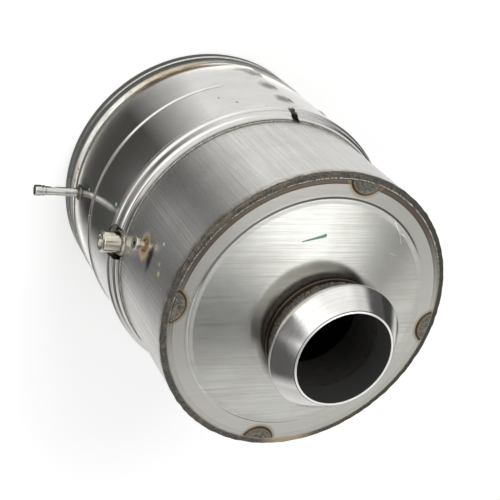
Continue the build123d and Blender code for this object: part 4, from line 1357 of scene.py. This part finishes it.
# %% Finishes of the inside
def inside_finish(name, dark, light, metal, rough, scale):
    f = Finish(name, dark)
    grain = f.grain(scale, scale, scale, detail=4.0, rough=0.6)
    f.stain(grain, light)
    f.relief(f.times(grain, 0.15))
    return f.done(metal=metal, rough=f.ramp(grain, 0.3, 0.7, rough, rough + 0.15))


def honeycomb():
    # The channels are painted near black, as the shade inside them; only their walls show the ceramic's
    # colour.
    f = Finish("honeycomb_brick", (0.01, 0.01, 0.01))
    pitch = 1.4
    walls = []
    for part in f.split(f.place)[:2]:
        cell = f.math("FRACT", f.math("DIVIDE", part, pitch))
        walls.append(f.math("ABSOLUTE", f.math("SUBTRACT", cell, 0.5)))
    wall = f.ramp(f.math("MAXIMUM", *walls), 0.36, 0.42)
    f.stain(wall, (0.34, 0.30, 0.24))
    f.relief(f.times(wall, 0.5))
    return f.done(metal=0.0, rough=0.9)


LINER_STEEL = inside_finish("sooty_liner_steel", (0.02, 0.02, 0.019), (0.08, 0.076, 0.07), 0.35, 0.38, 0.15)
FIBRE = inside_finish("fibre_wool", (0.45, 0.43, 0.38), (0.70, 0.68, 0.62), 0.0, 0.85, 0.9)
MAT = inside_finish("swelling_mat", (0.42, 0.37, 0.28), (0.62, 0.56, 0.44), 0.0, 0.85, 0.7)
WIRE = inside_finish("knitted_wire", (0.16, 0.155, 0.15), (0.5, 0.49, 0.47), 0.9, 0.35, 1.6)
KEPT_NODES = {
    "wrap_blanket": FIBRE,
    "plate_insulation": FIBRE,
    "chamber_insulation": FIBRE,
    "support_mat": MAT,
    "rear_mat_seal": WIRE,
    "front_mat_seal": WIRE,
    "catalyst_brick": honeycomb(),
    "neck_tube": LINER_STEEL,
    "neck_sleeve": LINER_STEEL,
    "liner_plate": LINER_STEEL,
    "chamber_liner": LINER_STEEL,
    "liner_support": LINER_STEEL,
    "rear_retainer": LINER_STEEL,
    "front_retainer": LINER_STEEL,
}
for name, finish in KEPT_NODES.items():
    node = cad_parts[name]
    node.data.materials.clear()
    node.data.materials.append(finish)
print("nodes that keep their shape:", len(KEPT_NODES))

# %% [markdown]
# ## Studio
#
# Steel shows the room more than itself. The photographer's room had a bright side behind the camera,
# a grey ceiling with a dark beam, and dark things low down on its other sides. A picture of a room
# could be wrapped round the scene, but a few soft blots, placed by direction, give those tones and
# stay easy to change. Only reflections see them: the camera sees white, and matt surfaces a plain
# level.

# %% World
ROOM = (
    ((0.66, 0.00, 0.75), (0.28, 0.50, 0.42), 0.5, (0.90, 0.90, 0.88)),
    ((0.61, 0.02, 0.79), (0.10, 0.10, 0.25), 1.0, (0.56, 0.56, 0.56)),
    ((0.50, 0.13, 0.86), (0.085, 0.11, 0.22), 0.8, (2.30, 2.30, 2.30)),
    ((0.535, -0.12, 0.84), (0.066, 0.090, 0.20), 0.5, (0.07, 0.07, 0.08)),
    ((0.645, 0.245, 0.72), (0.055, 0.065, 0.20), 0.8, (0.26, 0.26, 0.26)),
    ((0.15, 0.25, 0.95), (0.22, 0.24, 0.25), 0.5, (0.12, 0.12, 0.12)),
    ((-0.60, 0.05, 0.80), (0.45, 0.80, 0.35), 0.5, (1.80, 1.80, 1.80)),
    ((-0.80, 0.00, 0.58), (0.50, 0.95, 0.20), 0.3, (1.80, 1.80, 1.80)),
    ((-0.80, -0.50, 0.34), (0.30, 0.30, 0.22), 0.4, (0.25, 0.25, 0.25)),
    ((-0.35, -0.90, 0.12), (0.75, 0.50, 0.34), 0.4, (0.13, 0.13, 0.13)),
    ((-0.12, -0.58, 0.80), (0.25, 0.22, 0.30), 0.4, (0.28, 0.28, 0.28)),
    ((0.90, -0.43, 0.10), (0.25, 0.25, 0.25), 0.5, (0.15, 0.15, 0.15)),
    ((-0.66, 0.68, 0.30), (0.50, 0.50, 0.22), 0.4, (1.40, 1.40, 1.40)),
    ((-0.926, -0.03, 0.375), (0.05, 0.035, 0.09), 0.4, (1.55, 1.45, 1.00)),
    ((0.42, 0.90, 0.00), (0.42, 0.32, 0.25), 0.4, (0.12, 0.12, 0.12)),
)
world = bpy.data.worlds.new("studio")
bpy.context.scene.world = world
world.use_nodes = True
sky = Wiring(world.node_tree)
direction = sky.add("TexCoord").outputs["Generated"]
tone = (1.0, 1.0, 1.0)
for centre, reach, soft, colour in ROOM:
    tone = sky.mix(sky.blot(direction, centre, reach, soft), tone, colour)
rays = sky.add("LightPath").outputs
back = sky.add("Background")
sky.feed(back.inputs["Color"], sky.mix(rays["Is Glossy Ray"], (1.0, 1.0, 1.0), tone))
seen = sky.math("MAXIMUM", rays["Is Camera Ray"], rays["Is Glossy Ray"])
sky.feed(back.inputs["Strength"], sky.ramp(seen, 0.0, 1.0, 0.55, 1.0))
sky.links.new(back.outputs[0], sky.add("OutputWorld").inputs[0])
print("blots in the room:", len(ROOM))

# %% [markdown]
# Two large soft lamps model the shapes and throw the faint shadow on the floor. Polished steel would
# show them as bright squares, so they are hidden from reflections, where the room does their work.

# %% Lamps
def lamp(name, place, aim, size, watts):
    data = bpy.data.lights.new(name, "AREA")
    data.shape = "SQUARE"
    data.size, data.energy = size, watts
    obj = bpy.data.objects.new(name, data)
    obj.location = place
    obj.rotation_euler = (Vector(aim) - Vector(place)).to_track_quat("-Z", "Y").to_euler()
    obj.visible_glossy = False
    bpy.context.scene.collection.objects.link(obj)


lamp("key_lamp", (-0.9, 1.3, 1.7), (0, 0, 0.2), 1.3, 22.0)
lamp("fill_lamp", (-0.4, -1.6, 1.5), (0, 0, 0.2), 1.4, 14.0)

# %% [markdown]
# The floor is white paper. Its own colour stays below white, so that the shadow shows on it, and a
# little glow for the camera and for reflections brings the rest up to the white of the photograph.

# %% Floor
def flat_sheet(name, corners, height, finish):
    """A level polygon of the studio, with corners in millimetres."""
    points = [(x, y, height) for x, y in corners]
    obj = make_object(name, points, [tuple(range(len(points)))])
    obj.data.materials.append(finish)
    return obj


FLOOR_REACH = 6000.0
paper = Finish("white_paper", (0.86, 0.86, 0.86))
paper_rays = paper.add("LightPath").outputs
paper_seen = paper.math("MAXIMUM", paper_rays["Is Camera Ray"], paper_rays["Is Glossy Ray"])
paper.shader.inputs["Specular IOR Level"].default_value = 0.0
paper.shader.inputs["Emission Color"].default_value = (1, 1, 1, 1)
paper.feed(paper.shader.inputs["Emission Strength"], paper.times(paper_seen, 0.3))
floor_corners = [(x * FLOOR_REACH, y * FLOOR_REACH) for x, y in ((-1, -1), (1, -1), (1, 1), (-1, 1))]
flat_sheet("floor", floor_corners, 0.0, paper.done(metal=0.0, rough=0.9))

# %% [markdown]
# The walls of an upright canister mirror the floor in front of them. In the photograph that floor
# was dark on the left, with soft edges, so a dark board lies there, seen only by reflections. It
# lightens outwards, where the front shell sees it, has one paler patch, and fades out towards the
# top and the lower right of the picture. Close to the joint ring a dark strip stands for the contact
# shadow, and the bright strip outside it for the paper beside it, which the ring mirrors as a white
# band. Both end in a soft edge behind the object. A third board darkens the floor far to the right.

# %% Boards for the reflections
def board(name, corners, height, shade, level):
    """A level board that only reflections see; shade is its cover and level its tone."""
    f = Finish(name, (0.0, 0.0, 0.0))
    f.shader.inputs["Specular IOR Level"].default_value = 0.0
    f.feed(f.shader.inputs["Alpha"], shade(f))
    f.feed(f.shader.inputs["Emission Color"], level(f) if callable(level) else level)
    f.shader.inputs["Emission Strength"].default_value = 1.0
    obj = flat_sheet(name, corners, height, f.done(metal=0.0, rough=1.0))
    obj.visible_camera = obj.visible_diffuse = obj.visible_shadow = False


def left_shade(f):
    """Full on the camera's left, fading towards the top, the lower right and the ring."""
    leftness = f.ramp(f.math("DIVIDE", f.towards(-0.83, -0.56), f.away), 0.45, 0.88)
    lower_right = f.math("SUBTRACT", f.split(f.place)[0], f.times(f.away, 0.55))
    return f.times(leftness, f.ramp(lower_right, -130.0, -200.0), f.ramp(f.away, 175.5, 179.5))


def left_level(f):
    tone = f.mix(f.ramp(f.away, 225.0, 300.0), (0.09, 0.09, 0.085), (0.22, 0.22, 0.22))
    return f.mix(f.spot(-311.0, -161.0, 72.0, 1.0), tone, (0.52, 0.52, 0.52))


def near_shade(f):
    """A ring that is open behind the object."""
    return f.times(f.ramp(f.away, 181.0, 177.5), f.ramp(f.split(f.place)[0], 20.0, -50.0))


def near_level(f):
    edge = f.mix(f.ramp(f.away, 166.0, 171.0), (0.17, 0.17, 0.165), (0.40, 0.40, 0.38))
    return f.mix(f.ramp(f.away, 172.8, 174.8), edge, (2.20, 2.20, 2.10))


def far_shade(f):
    return f.ramp(f.towards(0.46, 0.89), 800.0, 1250.0)


FAR_LEVEL = (0.05, 0.05, 0.05, 1.0)
board("left_board", [(-500, -520), (60, -520), (60, 260), (-500, 260)], 3.0, left_shade, left_level)
board("near_strip", [(-200, -200), (40, -200), (40, 200), (-200, 200)], 2.0, near_shade, near_level)
board("far_board", [(350, 120), (5500, 120), (5500, 5500), (-1500, 5500)], 3.0, far_shade, FAR_LEVEL)
print("boards ready")

# %% [markdown]
# ## Camera
#
# The camera was found by fitting a pinhole to the circles of the plate, the neck and the wrap in the
# photograph, so its lens, place and three directions are given as numbers.

# %% Camera
camera_data = bpy.data.cameras.new("camera")
camera_data.lens = 79.69
camera_data.sensor_width = 36.0
camera = bpy.data.objects.new("camera", camera_data)
bpy.context.scene.collection.objects.link(camera)
to_right = Vector((0.4972, 0.7789, 0.3823))
to_bottom = Vector((0.6327, -0.6269, 0.4546))
to_object = Vector((0.5938, 0.0158, -0.8045))
facing = Matrix((to_right, -to_bottom, -to_object)).transposed().to_4x4()
camera.matrix_world = Matrix.Translation((-0.71217, -0.02164, 1.14583)) @ facing
bpy.context.scene.camera = camera
bpy.context.scene.view_settings.view_transform = "Standard"
